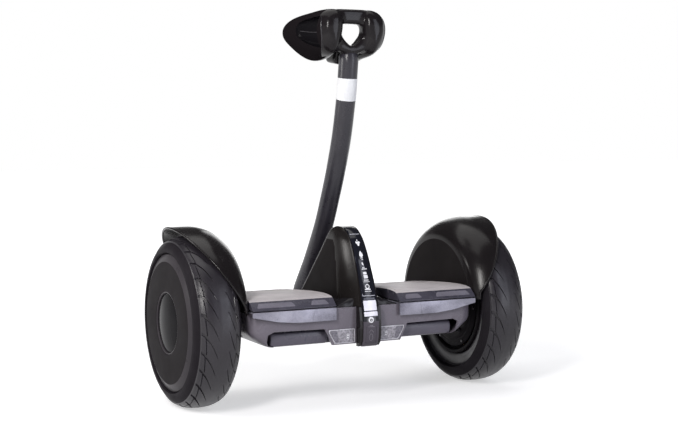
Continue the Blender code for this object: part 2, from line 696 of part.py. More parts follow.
def build_strip():
    """The glossy strip down the hump's rear with its two light windows, button and flap."""
    strip = strip_piece("display_strip", STRIP_OUTLINE[0][1], STRIP_TOP, 0.0, "gloss_black")
    windows = [("status_window", 0.1424, 0.1593), ("light_bar", 0.1354, 0.1414)]
    for name, low, high in windows:
        inset = 0.0020
        boolean(strip, strip_piece(f"cut_{name}", low - GAP, high + GAP, inset - GAP,
                                   outer=-0.002, inner=STRIP_THICKNESS + 0.002))
        strip_piece(name, low, high, inset, "light_white", inner=STRIP_THICKNESS - 0.0002)
    boolean(strip, rod("cut_button_strip", (0, -0.1080, BUTTON_Z), "Y", BUTTON_RADIUS + GAP,
                       0.0140))
    boolean(strip, box("cut_cap_strip", (-CAP_HALF_WIDTH - GAP, -0.120, CAP_BOTTOM - GAP),
                       (CAP_HALF_WIDTH + GAP, -0.100, CAP_TOP + GAP)))

    rest_y = line_y(STRIP_OUTLINE, BUTTON_Z) - 0.0008
    length = 0.0090
    button = rod("power_button", (0, rest_y + length / 2, BUTTON_Z), "Y", BUTTON_RADIUS, length,
                 "light_white", 20)
    bevel(button, 0.0005, 1)

    port_z = (CAP_BOTTOM + CAP_TOP) / 2
    rod("charge_socket", (0, -0.1015, port_z), "Y", 0.0070, 0.0080, "steel", 20)

    # The flap hangs on a hinge along its lower outer edge, where its origin lies
    bed, top = strip_line(STRIP_THICKNESS), strip_line(0.0)
    heights = [CAP_BOTTOM, 0.0999, 0.1079, CAP_TOP]
    hinge = Vector((0.0, line_y(top, CAP_BOTTOM), CAP_BOTTOM))
    rings = []
    for z in heights:
        out_y, in_y = line_y(top, z), line_y(bed, z)
        ring = [(-CAP_HALF_WIDTH, out_y, z), (CAP_HALF_WIDTH, out_y, z),
                (CAP_HALF_WIDTH, in_y, z), (-CAP_HALF_WIDTH, in_y, z)]
        rings.append([Vector(point) - hinge for point in ring])
    cap = add_part("charge_cap", loft_mesh("charge_cap", rings), "satin_black")
    cap.location = hinge


def build_pedal(side):
    """Silver tray, foot switch and rubber mat on one side of the hump."""
    tag = side_name(side)
    near, far = sorted((side * DECK_INNER_X, side * DECK_OUTER_X))
    lip, skirt = DECK_HALF_LENGTH - 0.0035, 0.1315
    outline = [(-DECK_HALF_LENGTH, skirt), (-lip, skirt), (-lip, TRAY_BOTTOM), (lip, TRAY_BOTTOM),
               (lip, skirt), (DECK_HALF_LENGTH, skirt), (DECK_HALF_LENGTH, TRAY_TOP),
               (-DECK_HALF_LENGTH, TRAY_TOP)]
    tray = prism(f"pedal_tray_{tag}", "YZ", outline, near, far, "silver_trim")
    rise = [(side * 0.104, skirt - 0.001), (side * 0.148, 0.1350), (side * DECK_OUTER_X, 0.1434),
            (side * 0.193, 0.1449), (side * 0.193, 0.120), (side * 0.104, 0.120)]
    boolean(tray, prism(f"cut_skirt_rise_{tag}", "XZ", rise, -0.11, 0.11))

    low, high = sorted((side * 0.070, side * 0.175))
    box(f"foot_switch_{tag}", (low, -0.075, CHASSIS_TOP + GAP), (high, 0.075, SWITCH_TOP),
        "circuit_green")

    top_line = [(-0.0900, 0.1640), (-0.0820, 0.1662), (-0.0600, 0.1676), (-0.0200, 0.1660),
                (0.0200, 0.1628), (0.0600, 0.1592), (0.0900, 0.1558), (0.0985, 0.1540)]
    mat_outline = [(DECK_HALF_LENGTH, MAT_BOTTOM), (-DECK_HALF_LENGTH, MAT_BOTTOM)] + top_line
    mat = prism(f"foot_mat_{tag}", "YZ", mat_outline, near, far, "mat_grey")
    bevel(mat, 0.0012, 1, 30)


def build_steering_base():
    """Housing, bearings and centring bush inside the frame, with the shaft that turns in them."""
    housing_back, housing_front = 0.0400, 0.0867
    housing = box("pivot_housing", (-0.0180, housing_back, 0.1130),
                  (0.0180, housing_front, CHASSIS_TOP - 0.0043), "cast_metal")
    race = 0.0110
    boolean(housing, rod("cut_housing_bore", (0, 0.065, PIVOT_Z), "Y", race + GAP, 0.08))
    width = 0.0090
    middles = {"pivot_bearing_rear": housing_back + width / 2 + 0.001,
               "pivot_bearing_front": housing_front - width / 2 - 0.001}
    for name, middle in middles.items():
        ring("Y", name, (0, middle, PIVOT_Z), PIVOT_SHAFT_RADIUS + GAP, race, width, "steel")
    bush_length = housing_front - housing_back - 2 * width - 0.004
    ring("Y", "centring_bush", (0, (housing_back + housing_front) / 2, PIVOT_Z),
         PIVOT_SHAFT_RADIUS + GAP, race, bush_length, "rubber")
    shaft_front = 0.1130
    rod("steering_shaft", (0, (housing_back + shaft_front) / 2, PIVOT_Z), "Y", PIVOT_SHAFT_RADIUS,
        shaft_front - housing_back, "steel")


def ring(axis, name, centre, hole, outside, width, finish):
    """A plain ring about its centre, such as a bearing or a bush."""
    points = [(width / 2, hole), (width / 2, outside), (-width / 2, outside), (-width / 2, hole)]
    part = add_part(name, profile_mesh(name, points, True), finish)
    part.location = centre
    part.rotation_euler = AXIS_TURN[axis]
    screw(part, 20)
    return part


def build_stem():
    """Socket on the steering shaft, the curved tube and the screw that clamps it."""
    outline = [(-0.0195, 0.1120), (-0.0120, 0.1050), (0.0120, 0.1050), (0.0195, 0.1120),
               (0.0185, SOCKET_TOP), (-0.0185, SOCKET_TOP)]
    front = STEM_FOOT_Y + STEM_RADIUS + 0.0030
    socket = prism("stem_socket", "XZ", outline, SOCKET_BACK_Y, front, "satin_black")
    bevel(socket, 0.0025, 2)
    boolean(socket, rod("cut_stem_bore", (0, STEM_FOOT_Y, 0.1610), "Z", STEM_RADIUS + GAP, 0.0900))
    boolean(socket, rod("cut_shaft_bore", (0, 0.1080, PIVOT_Z), "Y", PIVOT_SHAFT_RADIUS + GAP,
                        0.0110))
    screw_z = 0.1270
    boolean(socket, rod("cut_clamp_screw", (0.0200, STEM_FOOT_Y, screw_z), "X", 0.0033, 0.0200))
    clamp_screw = rod("stem_clamp_screw", (0.0184, STEM_FOOT_Y, screw_z), "X", 0.0030, 0.0050,
                      "steel", 12)
    boolean(clamp_screw, rod("join_screw_head", (0.0217, STEM_FOOT_Y, screw_z), "X", 0.0055,
                             0.0030, sides=16), "UNION")

    # The tube stands upright in the socket and at its top, and sweeps back between them
    foot, top = (0.0, STEM_FOOT_Y, 0.1165), (0.0, STEM_TOP_Y, STEM_TOP_Z - GAP)
    sweep = [(STEM_FOOT_Y, SOCKET_TOP + 0.0010), (0.1290, 0.1520), (0.1080, 0.1785),
             (0.0872, 0.2053), (0.0513, 0.2594), (0.0280, 0.3051), (0.0082, 0.3480),
             (-0.0118, 0.4009), (-0.0260, 0.4557), (-0.0299, 0.4783), (-0.0336, 0.5039),
             (STEM_TOP_Y, 0.5150)]
    curve = bpy.data.curves.new("stem_tube", "CURVE")
    curve.dimensions = "3D"
    curve.bevel_depth = STEM_RADIUS
    curve.bevel_resolution = 3
    line = curve.splines.new("POLY")
    samples = [foot] + smooth_path([(0.0, y, z) for y, z in sweep], 24) + [top]
    line.points.add(len(samples) - 1)
    for point, place in zip(line.points, samples):
        point.co = (*place, 1.0)
    mesh = curve_to_mesh("stem_tube", curve)
    shade(mesh, 40)
    tube = add_part("stem_tube", mesh, "stem_paint")
    wall = tube.modifiers.new("wall", "SOLIDIFY")
    wall.thickness = STEM_WALL
    wall.offset = -1.0


def build_head():
    """The frame at the stem's top: a ring round the hand hole, with a chin in front."""
    half = [(0.0165, STEM_TOP_Z), (0.0240, 0.5320), (0.0300, 0.5415), (0.0310, 0.5500),
            (0.0310, 0.5800), (0.0295, 0.5860), (0.0240, 0.5893)]
    outer = half + [(-x, z) for x, z in reversed(half)]
    rim = [(0.0140, 0.5494), (0.0192, 0.5571), (0.0203, 0.5624), (0.0190, 0.5668),
           (0.0150, 0.5703)]
    hole = [(0.0, 0.5328)] + rim + [(-x, z) for x, z in reversed(rim)]
    frame = prism("head_frame", "XZ", outer, HEAD_REAR_Y, HEAD_FRONT_Y, "satin_black")
    boolean(frame, prism("cut_hand_hole", "XZ", hole, HEAD_REAR_Y - 0.01, HEAD_FRONT_Y + 0.01))
    chin = [(-0.0400, 0.5288), (-0.0190, 0.5288), (-0.0180, 0.5115), (0.0150, 0.5150),
            (0.0180, 0.5200), (0.0100, 0.5300), (-0.0300, 0.5318), (-0.0400, 0.5318)]
    boolean(frame, prism("join_chin", "YZ", chin, -0.0135, 0.0135), "UNION")
    boolean(frame, rod("join_spigot", (0, STEM_TOP_Y, STEM_TOP_Z - 0.0040), "Z", 0.0100, 0.0180),
            "UNION")
    bevel(frame, 0.0012, 1, 40)
    return outer


# Sections of the right knee pad square to Y, from its rear to its tip: Y, then (X, Z) from
# the inner top corner over the top, down the outer side and back up the inner side
PAD_SECTIONS = [
    (-0.0552, [(0.0240, 0.5842), (0.0340, 0.5847), (0.0425, 0.5812), (0.0480, 0.5747),
               (0.0505, 0.5650), (0.0495, 0.5545), (0.0435, 0.5445), (0.0350, 0.5345),
               (0.0285, 0.5375), (0.0230, 0.5480), (0.0200, 0.5620), (0.0200, 0.5762)]),
    (-0.0490, [(0.0210, 0.5887), (0.0330, 0.5894), (0.0445, 0.5852), (0.0515, 0.5772),
               (0.0548, 0.5650), (0.0540, 0.5530), (0.0475, 0.5405), (0.0350, 0.5292),
               (0.0268, 0.5335), (0.0203, 0.5455), (0.0166, 0.5620), (0.0166, 0.5792)]),
    (-0.0330, [(0.0240, 0.5887), (0.0360, 0.5897), (0.0480, 0.5872), (0.0560, 0.5802),
               (0.0592, 0.5670), (0.0582, 0.5530), (0.0520, 0.5378), (0.0380, 0.5268),
               (0.0260, 0.5250), (0.0205, 0.5360), (0.0212, 0.5560), (0.0208, 0.5792)]),
    (-0.0130, [(0.0330, 0.5854), (0.0430, 0.5867), (0.0540, 0.5837), (0.0617, 0.5762),
               (0.0647, 0.5650), (0.0633, 0.5520), (0.0562, 0.5350), (0.0400, 0.5238),
               (0.0268, 0.5178), (0.0243, 0.5280), (0.0310, 0.5500), (0.0315, 0.5742)]),
    (0.0070, [(0.0430, 0.5824), (0.0500, 0.5837), (0.0590, 0.5814), (0.0662, 0.5752),
              (0.0697, 0.5650), (0.0688, 0.5530), (0.0622, 0.5378), (0.0460, 0.5218),
              (0.0318, 0.5145), (0.0288, 0.5240), (0.0400, 0.5450), (0.0425, 0.5692)]),
    (0.0230, [(0.0520, 0.5794), (0.0570, 0.5807), (0.0636, 0.5784), (0.0697, 0.5732),
              (0.0733, 0.5640), (0.0723, 0.5530), (0.0663, 0.5408), (0.0530, 0.5268),
              (0.0408, 0.5168), (0.0397, 0.5240), (0.0480, 0.5450), (0.0515, 0.5672)]),
    (0.0355, [(0.0600, 0.5754), (0.0635, 0.5762), (0.0682, 0.5740), (0.0727, 0.5692),
              (0.0753, 0.5620), (0.0743, 0.5530), (0.0702, 0.5448), (0.0620, 0.5358),
              (0.0548, 0.5298), (0.0538, 0.5360), (0.0570, 0.5490), (0.0595, 0.5652)]),
    (0.0440, [(0.0650, 0.5702), (0.0675, 0.5702), (0.0705, 0.5682), (0.0730, 0.5652),
              (0.0740, 0.5600), (0.0735, 0.5540), (0.0715, 0.5490), (0.0680, 0.5460),
              (0.0650, 0.5460), (0.0635, 0.5500), (0.0635, 0.5570), (0.0640, 0.5652)]),
]
# Mouth of the pad's pocket on the outer face, as (X, Y, Z) of the right pad
PAD_POCKET = [
    (0.0554, -0.0457, 0.5778), (0.0624, -0.0205, 0.5740), (0.0680, 0.0020, 0.5701),
    (0.0690, 0.0050, 0.5590), (0.0678, 0.0002, 0.5470), (0.0600, -0.0100, 0.5385),
    (0.0550, -0.0240, 0.5370), (0.0540, -0.0380, 0.5440), (0.0545, -0.0440, 0.5520),
    (0.0546, -0.0470, 0.5650),
]


def rings_about(rings, share, side):
    """Rings of points drawn towards the middle of each, on one side of the object."""
    moved = []
    for ring_points in rings:
        points = [Vector(point) for point in ring_points]
        middle = sum(points, Vector()) / len(points)
        ring = [middle + (point - middle) * share for point in points]
        moved.append([(side * x, y, z) for x, y, z in ring])
    return moved


def build_pad(side, frame_outer):
    """A fat foam pad beside the head frame, which leans out at its top and at its tip.

    The outer face has a deep pocket behind the rear rim, which takes the rider's knee.
    """
    tag = side_name(side)
    sections = [[(x, y, z) for x, z in outline] for y, outline in PAD_SECTIONS]
    rear = [(x, y - 0.0020, z) for x, y, z in sections[0]]
    tip = [(x, y + 0.0055, z) for x, y, z in sections[-1]]
    rings = rings_about([rear], 0.55, side) + rings_about(sections, PAD_SWELL, side)
    rings += rings_about([tip], 0.5, side)
    mesh = loft_mesh(f"knee_pad_{tag}", rings, 180)
    pad = add_part(f"knee_pad_{tag}", mesh, "foam")
    soft = pad.modifiers.new("soft", "SUBSURF")
    soft.levels = 1
    soft.render_levels = 1

    outward = Vector((0.955, -0.296, 0.0))
    mouth = [Vector(point) for point in PAD_POCKET]
    steps = [(1.12, 0.0090), (1.0, 0.0010), (0.78, -PAD_POCKET_DEPTH), (0.55, -0.0170)]
    rings = []
    for share, move in steps:
        rings += rings_about([[point + outward * move for point in mouth]], share, side)
    boolean(pad, add_cutter(f"cut_pad_pocket_{tag}", loft_mesh(f"cut_pad_pocket_{tag}", rings)))
    grown = [(x * 1.012, 0.5490 + (z - 0.5490) * 1.012) for x, z in frame_outer]
    boolean(pad, prism(f"cut_pad_seat_{tag}", "XZ", grown, HEAD_REAR_Y - GAP, HEAD_FRONT_Y + GAP))


def main():
    global PARTS, CUTTERS
    clear_scene()
    PARTS = new_collection(OBJECT_NAME)
    CUTTERS = new_collection("cutters")
    build_chassis()
    build_battery()
    build_electronics()
    build_rear()
    build_front()
    build_hump()
    build_strip()
    for side in (-1, 1):
        build_wheel(side)
        build_axle(side)
        build_fender(side)
        build_pedal(side)
    build_steering_base()
    build_stem()
    frame_outer = build_head()
    for side in (-1, 1):
        build_pad(side, frame_outer)
    for item in list(PARTS.objects) + list(CUTTERS.objects):
        item.location.y -= ORIGIN_Y
    bpy.context.view_layer.update()


main()
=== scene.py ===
"""Looks of the self-balancing scooter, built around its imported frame.

Metres, +Z up, +Y in the driving direction. The shapes measure Y from the middle of the deck,
and add_piece moves them back by ORIGIN_Y into the frame of the part.
"""
from math import copysign, cos, radians, sin, sqrt, tau

import bmesh
import bpy
from mathutils import Matrix, Vector
from mathutils.bvhtree import BVHTree


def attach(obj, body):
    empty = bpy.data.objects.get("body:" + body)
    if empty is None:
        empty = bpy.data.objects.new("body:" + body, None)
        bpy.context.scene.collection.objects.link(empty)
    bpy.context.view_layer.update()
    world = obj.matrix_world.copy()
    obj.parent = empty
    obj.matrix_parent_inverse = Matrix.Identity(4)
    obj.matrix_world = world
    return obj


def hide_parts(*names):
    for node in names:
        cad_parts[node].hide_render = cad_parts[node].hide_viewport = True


ORIGIN_Y = 0.0150
WHEEL_X = 0.2398
AXLE_Y = 0.0090
AXLE_Z = 0.1275
WHEEL_CENTRE = (WHEEL_X, AXLE_Y, AXLE_Z)
FENDER_CENTRE = (WHEEL_X, 0.0176, 0.1295)
PEDAL_NEAR = 0.0534
PEDAL_FAR = 0.1870
SIDES = {"left": -1, "right": 1}

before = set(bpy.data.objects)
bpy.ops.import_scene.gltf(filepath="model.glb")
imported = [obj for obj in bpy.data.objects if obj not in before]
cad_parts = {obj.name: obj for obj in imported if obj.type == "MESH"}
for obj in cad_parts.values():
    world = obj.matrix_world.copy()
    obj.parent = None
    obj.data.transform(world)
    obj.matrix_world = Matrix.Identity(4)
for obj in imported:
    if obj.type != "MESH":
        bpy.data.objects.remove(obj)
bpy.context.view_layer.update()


# Materials

def link(tree, source, target):
    tree.links.new(source, target)


def add_node(tree, kind, values=None, links=None, **settings):
    """A shader node with its settings and with the values or the sources of its inputs."""
    node = tree.nodes.new("ShaderNode" + kind)
    for key, value in settings.items():
        setattr(node, key, value)
    for key, value in (values or {}).items():
        node.inputs[key].default_value = value
    for key, source in (links or {}).items():
        link(tree, source, node.inputs[key])
    return node


def new_material(name):
    material = bpy.data.materials.new(name)
    material.use_nodes = True
    tree = material.node_tree
    return material, tree, tree.nodes["Principled BSDF"]


def noise(tree, scale, detail=3.0, roughness=0.55, stretch=None):
    """A noise texture in the object's own coordinates, stretched along its axes if asked."""
    source = add_node(tree, "TexCoord").outputs["Object"]
    if stretch:
        mapping = add_node(tree, "Mapping", {"Scale": stretch}, {"Vector": source})
        source = mapping.outputs["Vector"]
    values = {"Scale": scale, "Detail": detail, "Roughness": roughness}
    return add_node(tree, "TexNoise", values, {"Vector": source}).outputs["Fac"]


def spread(tree, value, low, high, start=0.3, end=0.7):
    """A value between start and end, mapped to low and high."""
    values = {"From Min": start, "From Max": end, "To Min": low, "To Max": high}
    return add_node(tree, "MapRange", values, {"Value": value}).outputs["Result"]


def mix(tree, factor, first, second):
    """A colour between two, each a colour or a socket."""
    node = add_node(tree, "Mix", links={"Factor": factor}, data_type="RGBA")
    for key, colour in (("A", first), ("B", second)):
        socket = [s for s in node.inputs if s.name == key and s.type == "RGBA"][0]
        if isinstance(colour, tuple):
            socket.default_value = (*colour, 1.0)
        else:
            link(tree, colour, socket)
    return [s for s in node.outputs if s.type == "RGBA"][0]


def finish(made, tone, gloss, height, strength, distance, values):
    """Links tone, gloss and relief to the shader of a new material, and sets its values."""
    material, tree, shader = made
    relief = add_node(tree, "Bump", {"Strength": strength, "Distance": distance},
                      {"Height": height})
    link(tree, tone, shader.inputs["Base Color"])
    link(tree, gloss, shader.inputs["Roughness"])
    link(tree, relief.outputs["Normal"], shader.inputs["Normal"])
    for key, value in values.items():
        shader.inputs[key].default_value = value
    return material


def surface(name, dark, light, rough, specular=0.5, grain=900.0, relief=0.15, patches=14.0,
            metallic=0.0, coat=0.0, depth=0.0002):
    """A moulded or painted surface: cloudy tone, uneven gloss and a fine grain."""
    fleck_share, fleck_light = 0.22, 1.7
    made = new_material(name)
    tree = made[1]
    tone = mix(tree, spread(tree, noise(tree, patches, 4.0), 0.0, 1.0), dark, light)
    tone = mix(tree, spread(tree, noise(tree, grain, 2.0), 0.0, fleck_share), tone,
               tuple(min(1.0, fleck_light * part) for part in light))
    gloss = spread(tree, noise(tree, patches * 3.1, 5.0, 0.6), rough * 0.82, rough * 1.2)
    made[0].diffuse_color = (*light, 1.0)
    return finish(made, tone, gloss, noise(tree, grain, 3.0), relief, depth,
                  {"Metallic": metallic, "Coat Weight": coat, "Coat Roughness": 0.12,
                   "Specular IOR Level": specular})


def brushed(name, dark, light, rough, stretch):
    """Bare metal with fine lines along one axis."""
    made = new_material(name)
    tree = made[1]
    lines = noise(tree, 300.0, 4.0, 0.6, stretch)
    made[0].diffuse_color = (*light, 1.0)
    return finish(made, mix(tree, spread(tree, lines, 0.0, 1.0), dark, light),
                  spread(tree, lines, rough * 0.8, rough * 1.3), lines, 0.2, 0.0001,
                  {"Metallic": 1.0})


# Each row gives surface its name, dark and light tone and roughness, then, where they aren't
# the usual ones, its specular level, grain, relief, patches, metallic value, coat and depth
SURFACES = {
    "tyre": ("tyre_rubber", (0.013, 0.0115, 0.0145), (0.021, 0.0185, 0.0235), 0.34, 0.36, 1500.0,
             0.22, 18.0),
    "sidewall": ("tyre_sidewall", (0.0115, 0.0100, 0.0122), (0.0175, 0.0155, 0.0185), 0.42, 0.015,
                 1500.0, 0.22, 18.0),
    "soft_rubber": ("soft_rubber", (0.016, 0.015, 0.017), (0.024, 0.023, 0.026), 0.5, 0.2),
    "satin": ("satin_black", (0.0075, 0.0062, 0.0068), (0.0105, 0.0088, 0.0096), 0.22, 0.20,
              1300.0, 0.05, 10.0),
    "dull": ("dull_black", (0.0085, 0.0072, 0.0076), (0.0120, 0.0102, 0.0106), 0.40, 0.012, 1300.0,
             0.05, 10.0),
    "hump": ("hump_satin", (0.0090, 0.0076, 0.0076), (0.0122, 0.0104, 0.0102), 0.25, 0.20, 1300.0,
             0.05, 10.0),
    "hub": ("hub_satin", (0.0095, 0.0080, 0.0092), (0.0130, 0.0112, 0.0126), 0.34, 0.008, 1200.0,
            0.10, 12.0),
    # The cover's chamfer has more gloss than the face and a tone about three times lighter; the
    # lighter tone is a painted highlight of the lamps on it
    "hub_edge": ("hub_edge", (0.030, 0.027, 0.031), (0.040, 0.036, 0.041), 0.30, 0.06, 1200.0,
                 0.08, 12.0),
    "gloss": ("gloss_black", (0.0050, 0.0046, 0.0056), (0.0070, 0.0066, 0.0078), 0.12, 0.02, 700.0,
              0.02, 9.0),
    "saddle": ("saddle_gloss", (0.012, 0.011, 0.013), (0.018, 0.017, 0.020), 0.18, 0.16, 700.0,
               0.03, 9.0),
    "spine": ("spine_grey", (0.046, 0.040, 0.050), (0.066, 0.058, 0.072), 0.34, 0.2, 1000.0, 0.08),
    # Pale grey for the line on the hump's front edge: a painted highlight
    "edge": ("edge_grey", (0.085, 0.080, 0.086), (0.120, 0.113, 0.121), 0.30),
    "dim": ("dim_blue", (0.030, 0.032, 0.048), (0.050, 0.053, 0.078), 0.25),
    "dim_mark": ("dim_mark", (0.150, 0.140, 0.165), (0.220, 0.208, 0.240), 0.35),
    "strip": ("strip_black", (0.0075, 0.0078, 0.0120), (0.0110, 0.0115, 0.0175), 0.11, 0.35, 700.0,
              0.03, 9.0),
    "panel": ("panel_grey", (0.105, 0.093, 0.113), (0.138, 0.124, 0.150), 0.30, 0.30, 900.0, 0.06,
              9.0),
    "case": ("case_grey", (0.062, 0.056, 0.074), (0.090, 0.083, 0.108), 0.30, 0.30, 900.0, 0.06,
             7.0),
    "mat_top": ("mat_rubber", (0.36, 0.335, 0.345), (0.50, 0.465, 0.475), 0.55, 0.3, 1700.0, 0.50,
                24.0, 0.0, 0.0, 0.0004),
    "mat_edge": ("mat_edge", (0.036, 0.034, 0.047), (0.060, 0.057, 0.076), 0.26, 0.25, 900.0, 0.08,
                 22.0),
    "mat_panel": ("mat_panel", (0.100, 0.094, 0.118), (0.165, 0.157, 0.190), 0.24, 0.15, 900.0,
                  0.10, 22.0),
    "silver": ("tray_silver", (0.080, 0.077, 0.104), (0.315, 0.308, 0.368), 0.32, 0.4, 1100.0,
               0.04, 27.0, 0.35),
    "pad": ("pad_skin", (0.0080, 0.0066, 0.0076), (0.0112, 0.0094, 0.0106), 0.17, 0.16, 1400.0,
            0.08, 12.0),
    "pad_side": ("pad_side", (0.0080, 0.0066, 0.0076), (0.0112, 0.0094, 0.0106), 0.30, 0.0, 1400.0,
                 0.08, 12.0),
    # The pocket's skin is about half as light as the pad's: painted shade inside the pocket
    "pocket": ("pocket_skin", (0.0042, 0.0038, 0.0048), (0.0062, 0.0056, 0.0070), 0.22, 0.03,
               1400.0, 0.08, 12.0),
    # About twice as light as the pad's skin: a painted highlight for the pocket's lip and the seam
    # on its floor
    "pad_lip": ("pad_lip", (0.016, 0.014, 0.017), (0.024, 0.021, 0.025), 0.30, 0.3),
    "stem": ("stem_paint", (0.0180, 0.0168, 0.0220), (0.0250, 0.0235, 0.0305), 0.30, 0.35, 1600.0,
             0.10, 20.0),
    "band": ("pale_band", (0.66, 0.67, 0.69), (0.80, 0.81, 0.83), 0.35, 0.5, 800.0, 0.04, 40.0),
    "cast": ("cast_metal", (0.052, 0.050, 0.055), (0.085, 0.082, 0.088), 0.45, 0.5, 600.0, 0.4,
             20.0, 0.7),
    "motor": ("motor_shell", (0.009, 0.0078, 0.0092), (0.015, 0.0132, 0.0155), 0.42, 0.03),
    "lamp": ("lamp_grey", (0.080, 0.075, 0.090), (0.360, 0.345, 0.385), 0.22, 0.35, 500.0, 0.30,
             330.0),
    "lamp_dark": ("lamp_dark", (0.060, 0.056, 0.070), (0.190, 0.180, 0.215), 0.22, 0.35, 500.0,
                  0.30, 330.0),
    "lamp_rim": ("lamp_rim", (0.42, 0.41, 0.45), (0.56, 0.55, 0.60), 0.22),
    "lamp_clear": ("lamp_clear", (0.42, 0.43, 0.46), (0.60, 0.61, 0.64), 0.12, 0.5, 500.0, 0.2,
                   60.0, 0.0, 0.5),
    "window": ("window_white", (0.70, 0.69, 0.79), (0.86, 0.85, 0.94), 0.22, 0.5, 600.0, 0.06,
               70.0),
    "white": ("mark_white", (0.70, 0.70, 0.74), (0.84, 0.84, 0.87), 0.35),
    "line": ("line_silver", (0.36, 0.36, 0.42), (0.50, 0.50, 0.56), 0.25),
    "board": ("circuit", (0.015, 0.10, 0.045), (0.03, 0.16, 0.07), 0.4, 0.5, 300.0, 0.3),
    "cell": ("cell_wrap", (0.02, 0.05, 0.12), (0.035, 0.08, 0.17), 0.35),
}
MATERIALS = {key: surface(*row) for key, row in SURFACES.items()}
MATERIALS["copper"] = brushed("stator", (0.28, 0.12, 0.06), (0.62, 0.32, 0.18), 0.4, (1, 6, 6))
MATERIALS["steel"] = brushed("steel", (0.42, 0.42, 0.43), (0.66, 0.66, 0.67), 0.28, (6, 1, 1))


# Meshes

POINT_WELD = 1e-6
PRISM_WELD = 1e-5
# The axis that a prism runs along, and how its outline is turned to lie across it
PLANES = {"XY": (2, ((1, 0, 0), (0, 1, 0), (0, 0, 1))),
          "YZ": (0, ((0, 0, 1), (1, 0, 0), (0, 1, 0))),
          "XZ": (1, ((1, 0, 0), (0, 0, -1), (0, 1, 0)))}


def vectors(points):
    return [Vector(point) for point in points]


def welded(mesh, reach):
    """The mesh with double points merged and its faces turned outwards."""
    shape = bmesh.new()
    shape.from_mesh(mesh)
    bmesh.ops.remove_doubles(shape, verts=shape.verts, dist=reach)
    bmesh.ops.recalc_face_normals(shape, faces=shape.faces)
    shape.to_mesh(mesh)
    shape.free()
    return mesh


def mesh_of(points, faces):
    mesh = bpy.data.meshes.new("shape")
    mesh.from_pydata([tuple(point) for point in points], [], faces)
    return welded(mesh, POINT_WELD)


def skin(rings, around=True, along=False):
    """A mesh through equal rings of points. Each ring is closed, and so is their row if asked."""
    count = len(rings[0])
    faces = []
    for row in range(len(rings) if along else len(rings) - 1):
        low, high = row * count, (row + 1) % len(rings) * count
        for i in range(count if around else count - 1):
            j = (i + 1) % count
            faces.append((low + i, low + j, high + j, high + i))
    if around and not along:
        last = (len(rings) - 1) * count
        faces += [tuple(range(count - 1, -1, -1)), tuple(range(last, last + count))]
    return mesh_of([point for ring in rings for point in ring], faces)


def put(name, data):
    """A new object in the scene."""
    thing = bpy.data.objects.new(name, data)
    bpy.context.scene.collection.objects.link(thing)
    return thing


def taken(holder):
    """The finished mesh of a holder, which leaves the scene."""
    graph = bpy.context.evaluated_depsgraph_get()
    mesh = bpy.data.meshes.new_from_object(holder.evaluated_get(graph))
    bpy.data.objects.remove(holder, do_unlink=True)
    return mesh


def applied(mesh, modifiers):
    """The mesh with modifiers worked into it. Each is (type, values)."""
    holder = put("holder", mesh)
    for kind, values in modifiers:
        step = holder.modifiers.new(kind.lower(), kind)
        for key, value in values.items():
            setattr(step, key, value)
    return taken(holder)


def cut(mesh, cutters, operation="DIFFERENCE"):
    """The mesh with other meshes taken away, or only what it shares with them."""
    holders = [put("cutter", cutter) for cutter in cutters]
    made = applied(mesh, [("BOOLEAN", {"operation": operation, "solver": "EXACT",
                                       "object": holder}) for holder in holders])
    for holder in holders:
        bpy.data.objects.remove(holder, do_unlink=True)
    return made


def add_piece(name, mesh, body, slot, material, covers=(), sharp=38.0):
    """A finished piece in the frame of the part, riding on its body."""
    mesh.transform(Matrix.Translation((0.0, -ORIGIN_Y, 0.0)))
    mesh.shade_smooth()
    mesh.set_sharp_from_angle(angle=radians(sharp))
    mesh.materials.clear()
    mesh.materials.append(MATERIALS[material])
    piece = put(name, mesh)
    if covers:
        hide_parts(*covers)
    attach(piece, body)
    return piece


def add_finish(piece, material, chosen):
    """One more finish on a piece, for the faces that chosen picks."""
    piece.data.materials.append(MATERIALS[material])
    index = len(piece.data.materials) - 1
    for face in piece.data.polygons:
        if chosen(face):
            face.material_index = index


def catmull(points, count):
    """Points along a smooth curve through the given ones, evenly in parameter."""
    guides = vectors(points)
    ends = [2 * guides[0] - guides[1]] + guides + [2 * guides[-1] - guides[-2]]
    spans = len(guides) - 1
    line = []
    for step in range(count + 1):
        place = step / count * spans
        index = min(int(place), spans - 1)
        t = place - index
        a, b, c, d = ends[index:index + 4]
        line.append(0.5 * ((2 * b) + (c - a) * t + (2 * a - 5 * b + 4 * c - d) * t ** 2
                           + (3 * b - a - 3 * c + d) * t ** 3))
    return line


def interpolate(table, x):
    """The value at x in a table of (x, value), held at its ends."""
    if x <= table[0][0]:
        return table[0][1]
    for (x0, v0), (x1, v1) in zip(table, table[1:]):
        if x <= x1:
            return v0 + (v1 - v0) * (x - x0) / (x1 - x0)
    return table[-1][1]


def ease(t):
    t = min(max(t, 0.0), 1.0)
    return t * t * (3.0 - 2.0 * t)


def mirrored(half):
    """An outline or a ring from its half with positive X."""
    return half + [(-x, *rest) for x, *rest in reversed(half)]


def on_side(outline, side):
    """An outline of the right or front, mirrored where the side is -1."""
    return [(side * x, y) for x, y in outline]


def fillet(points, radius, closed=True, steps=3):
    """An outline with its corners rounded by up to a radius."""
    corners = vectors(points)
    last = len(corners) - 1
    line = []
    for i, corner in enumerate(corners):
        if not closed and i in (0, last):
            line.append(corner)
            continue
        before, after = corners[i - 1] - corner, corners[(i + 1) % (last + 1)] - corner
        reach = min(radius, 0.45 * before.length, 0.45 * after.length)
        start, end = corner + before.normalized() * reach, corner + after.normalized() * reach
        for step in range(steps + 1):
            t = step / steps
            line.append((1 - t) ** 2 * start + 2 * t * (1 - t) * corner + t ** 2 * end)
    return line


